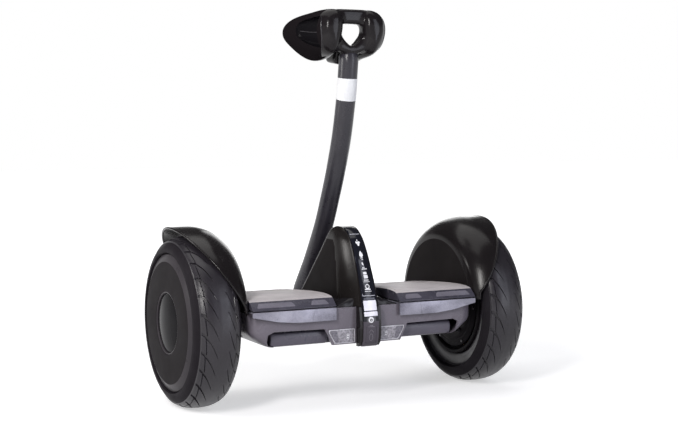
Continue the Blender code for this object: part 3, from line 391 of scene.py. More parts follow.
def lathe(points, side, steps=128, centre=WHEEL_CENTRE, closed=True):
    """A mesh turned about a line along X. The points are (outwards, radius)."""
    x, y, z = centre
    rings = []
    for step in range(steps):
        turn = tau * step / steps
        rings.append([(side * (x + out), y - radius * sin(turn), z + radius * cos(turn))
                      for out, radius in points])
    return skin(rings, around=closed, along=True)


def prism(plane, outlines, near, far, round_by=0.0, steps=2):
    """An outline with holes, carried from near to far, with its edges rounded."""
    curve = bpy.data.curves.new("prism", "CURVE")
    curve.dimensions = "2D"
    curve.fill_mode = "BOTH"
    curve.extrude = abs(far - near) / 2 - round_by
    curve.bevel_depth = round_by
    curve.offset = -round_by
    curve.bevel_resolution = steps
    for outline in outlines:
        line = curve.splines.new("POLY")
        line.points.add(len(outline) - 1)
        for point, place in zip(line.points, outline):
            point.co = (*place, 0.0, 1.0)
        line.use_cyclic_u = True
    mesh = taken(put("holder", curve))
    bpy.data.curves.remove(curve)
    axis, turn = PLANES[plane]
    place = Vector()
    place[axis] = (near + far) / 2
    mesh.transform(Matrix.Translation(place) @ Matrix(turn).to_4x4())
    return welded(mesh, PRISM_WELD)


def tube(path, radius, sides=12, closed=False):
    """A round rod along a path. The radius is a number or one for each point."""
    points = vectors(path)
    count = len(points)
    radii = radius if isinstance(radius, list) else [radius] * count
    rings = []
    side = None
    for i, point in enumerate(points):
        before = points[i - 1] if i or closed else point
        after = points[(i + 1) % count] if i < count - 1 or closed else point
        along = (after - before).normalized()
        if side is None:
            side = along.orthogonal()
        side = (side - along * side.dot(along)).normalized()
        other = along.cross(side)
        rings.append([point + radii[i] * (side * cos(tau * k / sides)
                                          + other * sin(tau * k / sides))
                      for k in range(sides)])
    return skin(rings, along=closed)


def rod(centre, axis, radius, length, sides=48, round_by=0.0):
    """A cylinder about its centre, with its edges rounded."""
    half = length / 2
    profile = [(-half, 0.0), (-half, radius), (half, radius), (half, 0.0)]
    if round_by:
        profile = fillet(profile, round_by, False, 4)
    rings = []
    for step in range(sides):
        turn = tau * step / sides
        ring = []
        for along, out in profile:
            place = [out * cos(turn), out * sin(turn)]
            place.insert("XYZ".index(axis), along)
            ring.append(Vector(place) + Vector(centre))
        rings.append(ring)
    return skin(rings, around=False, along=True)


# Wheels

# Half section of the tyre and the sidewall below it as (outwards, radius)
TYRE_HALF = [(0.0, 0.1275), (0.0134, 0.1266), (0.0223, 0.1239), (0.0293, 0.1196), (0.0343, 0.1135),
             (0.0364, 0.1085), (0.0366, 0.1052)]
SIDEWALL = [(0.0362, 0.1042), (0.0350, 0.1032), (0.0334, 0.1027), (0.0320, 0.1024),
            (0.0300, 0.1008), (0.0285, 0.0992), (0.0272, 0.0978), (0.0269, 0.0900),
            (0.0262, 0.0850), (0.0246, 0.0823), (0.0200, 0.0823), (0.0180, 0.0900),
            (0.0150, 0.1100)]
# Places across the tread, from its crown
BLOCK_LINE = 0.0228
GROOVE_END = 0.0040
SLIT_START = 0.0118
HOOK = 0.0300
SIDE_STEP = 0.0303
TREAD_END = 0.0455
TREAD_ROWS = [0.0, 0.0020, 0.0040, 0.0056, 0.0072, 0.0088, 0.0104, 0.0118, 0.0130, 0.0144, 0.0160,
              0.0176, 0.0192, 0.0204, 0.0214, 0.0221, 0.0228, 0.0235, 0.0242, 0.0252, 0.0264,
              0.0276, 0.0288, 0.0295, 0.0300, 0.0305, 0.0312, 0.0322, 0.0338, 0.0360, 0.0385,
              0.0410, 0.0434, TREAD_END]
# How deep and how wide a groove is across the tread, the width as a share
GROOVE_DEPTH = [(-0.0302, 0.0), (-0.0298, 0.0018), (-0.0262, 0.0024), (-0.0088, 0.0022),
                (-0.0042, 0.0), (0.0116, 0.0), (0.0132, 0.0022), (0.0262, 0.0024),
                (0.0298, 0.0018), (0.0302, 0.0)]
GROOVE_WIDTH = [(-0.0300, 1.0), (-0.0220, 1.0), (-0.0120, 0.70), (-0.0050, 0.40), (0.0118, 0.50),
                (0.0180, 0.80), (0.0280, 1.0)]
# Columns of one pitch: place in the pitch, half width of a groove there, and its depth
PITCH_COLUMNS = [(0.0, -0.082, 0.0), (0.0, -0.062, 1.0), (0.0, 0.0, 1.0), (0.0, 0.062, 1.0),
                 (0.0, 0.082, 0.0)]
PITCH_COLUMNS += [(spot, 0.0, 0.0) for spot in
                  (0.13, 0.22, 0.31, 0.40, 0.50, 0.60, 0.69, 0.78, 0.87)]
PITCHES = 28
SWEEP = 18.0
# The zigzag of the line round the blocks: its shift, its reach and the line's own depth
ZIGZAG = 0.0026
ZIGZAG_REACH = 0.0030
LINE_DEPTH = 0.0012
STEP_DEPTH = 0.0008
# The tread's slope at its end, in radians, where that is, and how fast it comes
SLOPE = 1.1
SLOPE_END = 0.0392
SLOPE_POWER = 1.4
SIDEWALL_FROM = 0.0300
HUB_FACE = 0.0380
HUB_BACK = 0.0273
HUB_COVER = [(HUB_BACK, 0.0440), (HUB_FACE - 0.0012, 0.0440), (HUB_FACE - 0.0004, 0.0458),
             (HUB_FACE, 0.0480), (HUB_FACE, 0.0902), (0.0332, 0.1012), (0.0322, 0.1018),
             (HUB_BACK, 0.0975)]
# Faces whose normal has less than this along the axle belong to the cover's edge, whose lighter
# tone is a painted highlight of the lamps on the chamfer
HUB_FLAT = 0.97
CAP_CROWN = 0.0020
CAP_DISH = 0.0044
CAP_RADIUS = 0.0425
HUB_CAP = [(HUB_BACK, 0.0), (0.0276, 0.0436), (HUB_FACE - 0.0030, 0.0436),
           (HUB_FACE - 0.0025, 0.0428)]
HUB_CAP += [(HUB_FACE + CAP_CROWN - CAP_DISH * (radius / CAP_RADIUS) ** 2, radius)
            for radius in (0.0405, 0.036, 0.031, 0.025, 0.019, 0.013, 0.007, 0.0)]
MOTOR_SHELL = [(0.0270, 0.0), (0.0270, 0.0810), (-0.0270, 0.0815), (-0.0288, 0.0806),
               (-0.0288, 0.0770), (-0.0276, 0.0752), (-0.0236, 0.0738), (-0.0222, 0.0712),
               (-0.0215, 0.0700), (0.0210, 0.0690), (0.0210, 0.0)]
MOTOR_COVER = [(-0.0230, 0.0143), (-0.0230, 0.0704), (-0.0272, 0.0702), (-0.0282, 0.0680),
               (-0.0290, 0.0655), (-0.0302, 0.0630), (-0.0302, 0.0600), (-0.0318, 0.0585),
               (-0.0328, 0.0555), (-0.0328, 0.0420), (-0.0322, 0.0412), (-0.0322, 0.0300),
               (-0.0330, 0.0290), (-0.0330, 0.0143)]
SCREWS = 6
SCREW_CIRCLE = 0.0668
SCREW_INSET = 0.0292


def tyre_line():
    """The tyre's half section as (run, out, radius), where run goes down from the crown."""
    curve = catmull(TYRE_HALF, 240)
    curve[0].x = 0.0
    line = [(0.0, *curve[0])]
    for before, here in zip(curve, curve[1:]):
        line.append((line[-1][0] + (here - before).length, *here))
    return line


def groove_turn(run):
    """How far the tread's grooves have swept round, in degrees, at a place across it."""
    if run < -GROOVE_END:
        share = max(HOOK + run, 0.0) / (HOOK - GROOVE_END)
        return SWEEP * share ** 1.6
    if run < SLIT_START:
        share = (run + GROOVE_END) / (SLIT_START + GROOVE_END)
        return SWEEP + (720 / PITCHES - SWEEP) * share
    share = max(HOOK - run, 0.0) / (HOOK - SLIT_START)
    return 720 / PITCHES + SWEEP * (1.0 - share ** 1.5)


def groove_point(run, out_at, radius_at, saw, deep):
    """Where the tread's skin is at a place across it, as (out, radius)."""
    near_line = max(0.0, 1.0 - abs(abs(run) - BLOCK_LINE) / ZIGZAG_REACH)
    here = run - run / abs(run) * ZIGZAG * saw * near_line if run else 0.0
    out, radius = interpolate(out_at, abs(here)), interpolate(radius_at, abs(here))
    depth = deep * interpolate(GROOVE_DEPTH, run)
    if abs(run) == BLOCK_LINE:
        depth = max(depth, LINE_DEPTH)
    depth += STEP_DEPTH * ease((abs(run) - SIDE_STEP) / STEP_DEPTH)
    slope = SLOPE * min(abs(here) / SLOPE_END, 1.0) ** SLOPE_POWER
    return copysign(out - depth * sin(slope), run) if run else 0.0, radius - depth * cos(slope)


def tyre_mesh(side):
    """A tyre whose mesh lines follow its grooves, so that their edges stay crisp."""
    line = tyre_line()
    out_at = [(run, out) for run, out, _ in line]
    radius_at = [(run, radius) for run, _, radius in line]
    runs = [-run for run in reversed(TREAD_ROWS)] + TREAD_ROWS[1:]
    rings = []
    for pitch in range(PITCHES):
        for spot, half, deep in PITCH_COLUMNS:
            saw = (spot - 0.5) if spot > 0.0 else -6.1 * half
            ring = []
            for run in runs:
                turn = radians((pitch + spot + half * interpolate(GROOVE_WIDTH, run))
                               * 360 / PITCHES + groove_turn(run))
                ring.append((*groove_point(run, out_at, radius_at, saw, deep), turn))
            turn = radians((pitch + spot + half) * 360 / PITCHES)
            final = radians(groove_turn(HOOK))
            before = [(-out, radius, turn) for out, radius in reversed(SIDEWALL)]
            after = [(out, radius, turn + final) for out, radius in SIDEWALL]
            rings.append([(side * WHEEL_X + out, AXLE_Y - radius * sin(angle),
                           AXLE_Z + radius * cos(angle))
                          for out, radius, angle in before + ring + after])
    return skin(rings, along=True)


def build_wheel(name, side):
    body = f"{name}_wheel"
    tyre = add_piece(f"tyre_{name}_tread", tyre_mesh(side), body, "tyre_rubber", "tyre",
                     [f"tyre_{name}"], 50)
    add_finish(tyre, "sidewall", lambda face: abs(abs(face.center.x) - WHEEL_X) > SIDEWALL_FROM)
    hub = add_piece(f"hub_cover_{name}_face", lathe(fillet(HUB_COVER, 0.0008), side), body,
                    "satin_black", "hub", [f"hub_cover_{name}"])
    # The chamfer's lighter finish is partly a painted highlight
    add_finish(hub, "hub_edge", lambda face: abs(face.normal.x) < HUB_FLAT)
    add_piece(f"hub_cap_{name}_dish", lathe(HUB_CAP, side, closed=False), body, "gloss_black",
              "gloss", [f"hub_cap_{name}"])
    shell = lathe(fillet(MOTOR_SHELL, 0.0006, False), side, closed=False)
    add_piece(f"motor_shell_{name}_rim", shell, body, "motor_shell", "motor",
              [f"motor_shell_{name}"])
    add_piece(f"motor_cover_{name}_plate", lathe(fillet(MOTOR_COVER, 0.0005), side), body,
              "cast_frame", "motor", [f"motor_cover_{name}"])
    for number in range(SCREWS):
        turn = tau * (number + 0.5) / SCREWS
        place = (side * (WHEEL_X - SCREW_INSET), AXLE_Y - SCREW_CIRCLE * sin(turn),
                 AXLE_Z + SCREW_CIRCLE * cos(turn))
        add_piece(f"motor_screw_{name}_{number}", rod(place, "X", 0.0022, 0.0022, 16, 0.0004),
                  body, "steel", "cast")


# Fenders

FENDER_SHOULDER = [(0.0, 0.1034), (0.0030, 0.1136), (0.0115, 0.1236), (0.0245, 0.1323),
                   (0.0405, 0.1373), (0.0559, 0.1384)]
FENDER_FOOT = 0.1010
FENDER_OUTSIDE = (0.0930, 0.1378)
FENDER_X = 0.1873
FENDER_FACE = FENDER_X - WHEEL_X
FENDER_SKIN = 0.0022
FENDER_INNER = 0.0700
# The free edge of the hood as (X, Z)
FENDER_LIP = [(0.1965, 0.1000), (0.1965, 0.1580), (0.2330, 0.2160), (0.2620, 0.2590),
              (0.2745, 0.2760), (0.3000, 0.3200)]
# The straight lower edge, and the foot that reaches below it round the axle
FENDER_EDGE = 0.1475
FOOT_HALF = 0.048
FOOT_LOW = 0.1190
FOOT_SLANT = 0.012
FENDER_KEEP = [(-0.2, FENDER_EDGE), (AXLE_Y - FOOT_HALF - FOOT_SLANT, FENDER_EDGE),
               (AXLE_Y - FOOT_HALF, FOOT_LOW), (AXLE_Y + FOOT_HALF, FOOT_LOW),
               (AXLE_Y + FOOT_HALF + FOOT_SLANT, FENDER_EDGE), (0.2, FENDER_EDGE), (0.2, 0.30),
               (-0.2, 0.30)]
AXLE_BORE = 0.0125
LIP_RADIUS = 0.0017
LIP_INSET = 0.0011
LIP_TURN = 84
LIP_STEPS = 120
# Faces whose normal has more than this along X are flat sides
FLAT_SIDE = 0.985


def fender_line():
    """The fender's outer section from its flat face out to the hood, as (out, radius)."""
    curve = catmull([(0.0, FENDER_FOOT)] + FENDER_SHOULDER + [FENDER_OUTSIDE], 42)
    return [(FENDER_FACE + max(point.x, 0.0), point.y) for point in curve]


def dull_sides(piece):
    """A duller finish on the flat faces across the axle."""
    add_finish(piece, "dull", lambda face: abs(face.normal.x) > FLAT_SIDE)


def lip_path(side, line):
    """The hood's free edge, where the lip's upright plane meets its turned skin."""
    x_at = [(z, x) for x, z in FENDER_LIP]
    radius_at = [(WHEEL_X + out, radius) for out, radius in line]
    path = []
    for step in range(LIP_STEPS + 1):
        turn = radians(-LIP_TURN + 2 * LIP_TURN * step / LIP_STEPS)
        x, radius = 0.24, FENDER_SHOULDER[-1][1]
        for _ in range(12):
            radius = interpolate(radius_at, x)
            x = interpolate(x_at, FENDER_CENTRE[2] + radius * cos(turn))
        z = FENDER_CENTRE[2] + (radius - LIP_INSET) * cos(turn)
        if z > FENDER_EDGE + 0.0016:
            path.append((side * x, FENDER_CENTRE[1] - (radius - LIP_INSET) * sin(turn), z))
    return path


def build_fender(name, side):
    line = fender_line()
    inner = []
    for i, (out, radius) in enumerate(line):
        before, after = line[max(i - 1, 0)], line[min(i + 1, len(line) - 1)]
        along = Vector((after[0] - before[0], after[1] - before[1])).normalized()
        inner.append((out + along.y * FENDER_SKIN, radius - along.x * FENDER_SKIN))
    section = [(FENDER_FACE, 0.0), (FENDER_FACE, FENDER_INNER)] + line + inner[::-1]
    section += [(FENDER_FACE + FENDER_SKIN, FENDER_INNER), (FENDER_FACE + FENDER_SKIN, 0.0)]
    mesh = lathe(section, side, 180, FENDER_CENTRE, closed=False)
    mesh = cut(mesh, [prism("YZ", [FENDER_KEEP], side * 0.18, side * 0.34)], "INTERSECT")
    lip = on_side(FENDER_LIP + [(0.3600, 0.3200), (0.3600, 0.1000)], side)
    bore = rod((side * FENDER_X, AXLE_Y, AXLE_Z), "X", AXLE_BORE, 0.02)
    mesh = cut(mesh, [prism("XZ", [lip], -0.2, 0.2), bore])
    dull_sides(add_piece(f"fender_{name}_hood", mesh, "base", "satin_black", "satin",
                         [f"fender_{name}"], 30))
    add_piece(f"fender_{name}_lip", tube(lip_path(side, line), LIP_RADIUS, 14), "base",
              "satin_black", "satin")


# Display strip and hump

STRIP_OUTLINE = [(-0.1029, 0.0893), (-0.1066, 0.0934), (-0.1090, 0.0999), (-0.1102, 0.1079),
                 (-0.1106, 0.1169), (-0.1102, 0.1289), (-0.1082, 0.1419), (-0.1055, 0.1519),
                 (-0.1022, 0.1628), (-0.0964, 0.1802), (-0.0880, 0.1995), (-0.0782, 0.2203),
                 (-0.0654, 0.2415), (-0.0551, 0.2522), (-0.0450, 0.2594), (-0.0360, 0.2624),
                 (-0.0230, 0.2636)]
STRIP_LOW = 0.0893
STRIP_TOP = 0.2622
STRIP_Z = [(z, y) for y, z in catmull(STRIP_OUTLINE, 160)]
BUTTON_Z = 0.1294
BUTTON_HOLE = 0.0048
BUTTON_RADIUS = 0.00445
CAP_LOW = 0.0953
CAP_HIGH = 0.1184
CAP_HALF = 0.0085
CAP_GAP = 0.0003
STRIP_DEPTH = 0.0016
SPINE_TOP = 0.1338
SPINE_PAINT = SPINE_TOP - 0.0065
# Name, lower and upper end and half width of each pane
PANES = (("status_window", 0.1432, 0.1579, 0.0107), ("light_bar", 0.1350, 0.1417, 0.0112))
# Thin lines on the strip: middle (X, Z), half width and height, and the finish
STRIP_LINES = (((0.0, 0.1648, 0.0104, 0.0008), "line"), ((-0.0102, 0.1662, 0.0003, 0.0030), "line"),
               # The dim line near the strip's left border, drawn on that side only, is a painted
               # highlight of the edge where the strip meets the hump
               ((0.0, 0.2530, 0.0084, 0.0006), "line"), ((-0.0107, 0.1970, 0.0002, 0.0500), "dim"),
               ((0.0, 0.1604, 0.0090, 0.0024), "dim"))
# Levels of the hump: height, front, half width and round of its front edges
HUMP_LEVELS = [(0.1491, 0.0792, 0.0320, 0.006), (0.1600, 0.0685, 0.0314, 0.006),
               (0.1776, 0.0529, 0.0299, 0.006), (0.1972, 0.0366, 0.0281, 0.006),
               (0.2184, 0.0191, 0.0258, 0.006), (0.2371, 0.0051, 0.0235, 0.006),
               (0.2485, -0.0025, 0.0215, 0.006), (0.2562, -0.0081, 0.0190, 0.005),
               (0.2600, -0.0116, 0.0166, 0.004), (0.2622, -0.0148, 0.0142, 0.003),
               (0.2633, -0.0180, 0.0118, 0.002)]
HUMP_STEPS = 80
# The pale line along the hump's front edge, a painted highlight on its round: how far in it lies,
# as a share of the round, its radius, and how many levels below the top it ends
EDGE_SHARE = 0.29
EDGE_RADIUS = 0.0008
EDGE_SHORT = 14
# The saddle round the hump's foot: its reach, its levels, its lower outline and its crest
SADDLE_END = 0.0917
SADDLE_FAR = 0.0528
SADDLE_LOW = 0.1468
SADDLE_EDGE = 0.1492
SADDLE_RISE = 0.1495
SADDLE_BASE = [(0.0140, -SADDLE_END), (0.0360, -SADDLE_END), (SADDLE_FAR, -SADDLE_END),
               (SADDLE_FAR, -0.060), (SADDLE_FAR, -0.020), (SADDLE_FAR, 0.055),
               (SADDLE_FAR, SADDLE_END), (0.0400, SADDLE_END), (0.0260, SADDLE_END)]
SADDLE_CREST = [(0.0140, -SADDLE_END, 0.1612), (0.0185, -0.0905, 0.1612),
                (0.0245, -0.0830, 0.1606), (0.0300, -0.0700, 0.1590), (0.0330, -0.0580, 0.1575),
                (0.0338, 0.0600, 0.1540), (0.0325, 0.0705, 0.1535), (0.0290, 0.0735, 0.1535),
                (0.0250, 0.0745, 0.1535)]


def strip_half(z):
    return interpolate([(0.150, 0.0128), (0.262, 0.0094)], z)


def strip_place(x, z, depth):
    """A point at a depth below the strip's face, square to it, at a height on the face."""
    step = 0.0012
    y = interpolate(STRIP_Z, z)
    low, high = max(z - step, STRIP_OUTLINE[0][1]), min(z + step, STRIP_OUTLINE[-1][1])
    along = Vector((interpolate(STRIP_Z, high) - interpolate(STRIP_Z, low), high - low))
    along.normalize()
    return Vector((x, y + along.y * depth, z - along.x * depth))


def strip_solid(low, high, half_at, top, bottom, rows=60, round_by=0.0005, pinch=0.0):
    """A stretch of the strip between two heights and two depths, with softened edges."""
    rings = []
    for row in range(rows + 1):
        z = low + (high - low) * row / rows
        half = half_at(z)
        if pinch:
            end = min(z - low, high - z)
            half -= pinch - sqrt(max(pinch ** 2 - max(pinch - end, 0.0) ** 2, 0.0))
        section = [(-half, bottom), (-half, top + round_by),
                   (-half + 0.3 * round_by, top + 0.3 * round_by), (-half + round_by, top)]
        rings.append([strip_place(x, z, depth) for x, depth in mirrored(section)])
    return skin(rings)


def strip_sheet(name, outline, lift, material):
    """A thin flat mark on the strip, from an outline of (x, height)."""
    count = len(outline)
    points = [strip_place(x, z, depth) for depth in (-lift, 0.0003) for x, z in outline]
    faces = [tuple(range(count)), tuple(range(2 * count - 1, count - 1, -1))]
    faces += [(i, (i + 1) % count, (i + 1) % count + count, i + count) for i in range(count)]
    return add_piece(name, mesh_of(points, faces), "base", "light_white", material, sharp=20)


def disc(x, z, radius, count=20, squash=1.0, start=0.0, end=tau):
    return [(x + radius * cos(start + (end - start) * k / count),
             z + squash * radius * sin(start + (end - start) * k / count))
            for k in range(count)]


def ring_mark(x, z, radius, width):
    """An open ring, drawn as one outline that turns back on itself."""
    outer, inner = [disc(x, z, reach, 24, 1.0, 0.1, 0.1 + tau * 25 / 24)
                    for reach in (radius, radius - width)]
    return outer + inner[::-1]


def bar(x, z, half, height):
    return [(x - half, z - height / 2), (x + half, z - height / 2), (x + half, z + height / 2),
            (x - half, z + height / 2)]


def hump_ring(z, rear, front, half, front_round):
    """A level section of the hump: it swells beside the strip and runs into flat sides."""
    narrow = strip_half(z) + 0.0003
    swell = half - narrow
    run = min(3.1 * swell, front - rear - front_round - 0.002)
    points = [(narrow, rear + 0.0024), (narrow, rear + 0.0012), (narrow + 0.0003, rear + 0.0005),
              (narrow + 0.0009, rear + 0.0004)]
    for step in range(21):
        share = step / 20
        points.append((narrow + 0.0009 + (swell - 0.0009) * (1.0 - (1.0 - share) ** 2),
                       rear + 0.0008 + (run - 0.0008) * share))
    for step in range(9):
        turn = radians(90 * step / 8)
        points.append((half - front_round * (1 - cos(turn)), front - front_round * (1 - sin(turn))))
    return mirrored([(x, y, z) for x, y in points])


def build_hump():
    front_at = catmull([(z, front) for z, front, _, _ in HUMP_LEVELS], HUMP_STEPS)
    half_at = catmull([(z, half) for z, _, half, _ in HUMP_LEVELS], HUMP_STEPS)
    round_at = [(z, rounding) for z, _, _, rounding in HUMP_LEVELS]
    rings, edge = [], []
    for (z, front), (_, half) in zip(front_at, half_at):
        rounding = interpolate(round_at, z)
        rings.append(hump_ring(z, interpolate(STRIP_Z, z), front, half, rounding))
        edge.append((half - EDGE_SHARE * rounding, front - EDGE_SHARE * rounding, z))
    dull_sides(add_piece("hump_shell", skin(rings), "base", "satin_black", "hump",
                         ["hump_cover"], 50))
    for name, side in SIDES.items():
        path = [(side * x, y, z) for x, y, z in edge[:-EDGE_SHORT]]
        # A pale tube on the round of each front edge: a painted highlight
        add_piece(f"hump_highlight_line_{name}", tube(path, EDGE_RADIUS, 10), "base", "satin_black",
                  "edge")


def build_saddle():
    """The saddle round the hump's foot, which rises in a hollow curve."""
    base = catmull(SADDLE_BASE, 48)
    crest = catmull(SADDLE_CREST, 48)
    levels = [[(x, y, z) for x, y in base] for z in (SADDLE_LOW, SADDLE_EDGE)]
    for step in range(1, 13):
        share = step / 12
        levels.append([(x + (q.x - x) * share, y + (q.y - y) * share,
                        SADDLE_RISE + (q.z - SADDLE_RISE) * share ** 1.25)
                       for (x, y), q in zip(base, crest)])
    add_piece("deck_saddle", skin([mirrored(level) for level in levels]), "base", "gloss_black",
              "saddle", ["deck_cover"], 40)


def build_strip():
    strip = strip_solid(STRIP_LOW, STRIP_TOP, strip_half, 0.0, STRIP_DEPTH, 150)
    hole = rod((0.0, -0.1080, BUTTON_Z), "Y", BUTTON_HOLE, 0.0140, 48)
    recess = strip_solid(CAP_LOW - CAP_GAP, CAP_HIGH + CAP_GAP, lambda z: CAP_HALF + CAP_GAP,
                         -0.003, 0.004, 16, 0.0001)
    piece = add_piece("strip_face", cut(strip, [hole, recess]), "base", "gloss_black", "strip",
                      ["display_strip"], 30)
    add_finish(piece, "spine", lambda face: face.center.z < SPINE_PAINT)
    for name, low, high, half in PANES:
        pane = strip_solid(low, high, lambda z, half=half: half, -0.00035, 0.0010, 24,
                           0.0003, 0.0008)
        add_piece(f"{name}_pane", pane, "base", "light_white", "window", [name], 30)
    for number, (place, material) in enumerate(STRIP_LINES):
        strip_sheet(f"strip_line_{number}", bar(*place), 0.0002, material)


def build_marks():
    """The raised marks on the strip and on the spine below it, from the top down."""
    lamp = [(0.0018, 0.2268), (0.0030, 0.2240), (0.0026, 0.2218), (0.0012, 0.2206)]
    marks = [
        disc(-0.0002, 0.2446, 0.0009), disc(-0.0020, 0.2412, 0.0017),
        disc(0.0020, 0.2412, 0.0017), disc(0.0, 0.2412, 0.0015), disc(0.0, 0.2382, 0.0018),
        [(0.0, 0.2295)] + lamp + [(0.0, 0.2203)] + [(-x, z) for x, z in reversed(lamp)],
        bar(-0.0002, 0.2192, 0.0020, 0.0012), bar(0.0004, 0.2166, 0.0014, 0.0008),
        disc(0.0006, 0.2108, 0.0026, 14, 1.0, 1.9, 5.0) + [(-0.0004, 0.2132)],
        bar(-0.0004, 0.2056, 0.0018, 0.0010), bar(0.0002, 0.2032, 0.0042, 0.0012),
        fillet(bar(0.0, 0.1972, 0.0030, 0.0036), 0.0012),
        fillet(bar(0.0003, 0.1922, 0.0034, 0.0050), 0.0012),
        bar(0.0, 0.1872, 0.0038, 0.0012), bar(0.0002, 0.1848, 0.0052, 0.0008),
        ring_mark(0.0, 0.1780, 0.0034, 0.0010),
        bar(0.0, 0.1740, 0.0046, 0.0016), bar(0.0004, 0.1712, 0.0054, 0.0008),
    ]
    for number, outline in enumerate(marks):
        strip_sheet(f"strip_mark_{number}", outline, 0.00012, "white")
    for number, (z, half) in enumerate(((0.1212, 0.0024), (0.1194, 0.0052))):
        strip_sheet(f"spine_mark_{number}", bar(0.0, z, half, 0.0007), 0.00010, "dim_mark")


def build_button():
    """The button sinks with its ring, its centre and the mark on it."""
    face = interpolate(STRIP_Z, BUTTON_Z)
    button = ("power_button", "light_white")
    ring = rod((0.0, face + 0.0042, BUTTON_Z), "Y", BUTTON_RADIUS, 0.0088, 64, 0.0004)
    add_piece("button_ring", ring, *button, "white", ["power_button"], 30)
    centre = rod((0.0, face - 0.0004, BUTTON_Z), "Y", 0.0020, 0.0010, 48, 0.0002)
    add_piece("button_centre", centre, *button, "gloss")
    mark = rod((0.0, face - 0.0006, BUTTON_Z - 0.0002), "Y", 0.0008, 0.0010, 20, 0.0001)
    add_piece("button_mark", mark, *button, "white")


def build_flap():
    flap = strip_solid(CAP_LOW, CAP_HIGH, lambda z: CAP_HALF, 0.0, STRIP_DEPTH, 24, 0.0004,
                       0.0012)
    add_piece("flap_cover", flap, "charge_flap", "satin_black", "spine", ["charge_cap"], 30)
    ring = [strip_place(x, z, 0.0001) for x, z in disc(0.0, 0.1035, 0.0026, 48, 2.0)]
    add_piece("flap_oval", tube(ring, 0.00022, 8, True), "charge_flap", "satin_black", "dim_mark")
    chevron = [strip_place(x, z, 0.0) for x, z in ((-0.0040, 0.1106), (0.0, 0.1148),
                                                   (0.0040, 0.1106))]
    add_piece("flap_arrow", tube(chevron, 0.00022, 8), "charge_flap", "satin_black", "dim_mark")


# Deck

MAT_LOW = 0.1521
MAT_TOP = [(-0.0900, 0.1640), (-0.0820, 0.1662), (-0.0600, 0.1676), (-0.0200, 0.1660),
           (0.0200, 0.1628), (0.0600, 0.1592), (0.0900, 0.1558), (0.0985, 0.1540)]
MAT_FOOT = 0.1020
MAT_REAR = -0.0895
MAT_ROUND = 0.0011
# The rear slope, and on it the insets' ends along X and their span as a share of the slope
SLOPE_LOW = Vector((0.0, -0.1016, 0.1535))
SLOPE_HIGH = Vector((0.0, -0.0903, 0.1637))
MAT_INSETS = ((0.0640, 0.0935), (0.1180, 0.1790))
INSET_LOW = 0.22
INSET_HIGH = 0.80
INSET_TAPER = 0.004
INSET_ROUND = 0.0025
INSET_LIFTS = (-0.0004, 0.00045)
INSET_CROWN = 0.0006
# Corners of the raised border round the tread area
BORDER = [(0.0600, -0.0830), (0.1800, -0.0830), (0.1800, 0.0930), (0.0600, 0.0930)]
BORDER_ROUND = 0.010
BORDER_RADIUS = 0.0005
TRAY_LIP = 0.0985
TRAY_HALF = 0.1020
TRAY_SKIRT = 0.1315
TRAY_LOW = 0.1488
TRAY_TOP = 0.1503
TRAY_OUTLINE = [(-TRAY_HALF, TRAY_SKIRT), (-TRAY_LIP, TRAY_SKIRT), (-TRAY_LIP, TRAY_LOW),
                (TRAY_LIP, TRAY_LOW), (TRAY_LIP, TRAY_SKIRT), (TRAY_HALF, TRAY_SKIRT),
                (TRAY_HALF, TRAY_TOP), (-TRAY_HALF, TRAY_TOP)]
# What is cut from under the skirt, which rises towards the wheel
TRAY_RISE = [(0.104, TRAY_SKIRT - 0.001), (0.148, 0.1350), (0.187, 0.1434), (0.193, 0.1449),
             (0.193, 0.120), (0.104, 0.120)]
TRAY_SEAM = ((0.0915, 0.1322), (0.0905, 0.1400), (0.0880, 0.1490))
# Radius of the thin lines on trays and lamps
THIN_LINE = 0.0003
# Distances of a lamp's face and of the backs of its lens and rim from the deck's middle
LAMP_FACE = 0.0967
LENS_BACK = 0.0928
RIM_BACK = 0.0935
# The rim's width, and how far the lens lies within the outline and behind the face
RIM_WIDTH = 0.0010
LENS_INSET = 0.0009
LENS_SUNK = 0.0004
# The dark zone as (X, Z)
LAMP_ZONE = ((0.0470, 0.0970), (0.0525, 0.0970), (0.0608, 0.1115), (0.0608, 0.1150),
             (0.0500, 0.1150))
# The two bright points, and the oval line round them
POINT_X = 0.0320
POINT_HEIGHTS = (0.1070, 0.1034)
OVAL_Z = 0.1052
OVAL_RADIUS = 0.0030
OVAL_STRETCH = 1.4


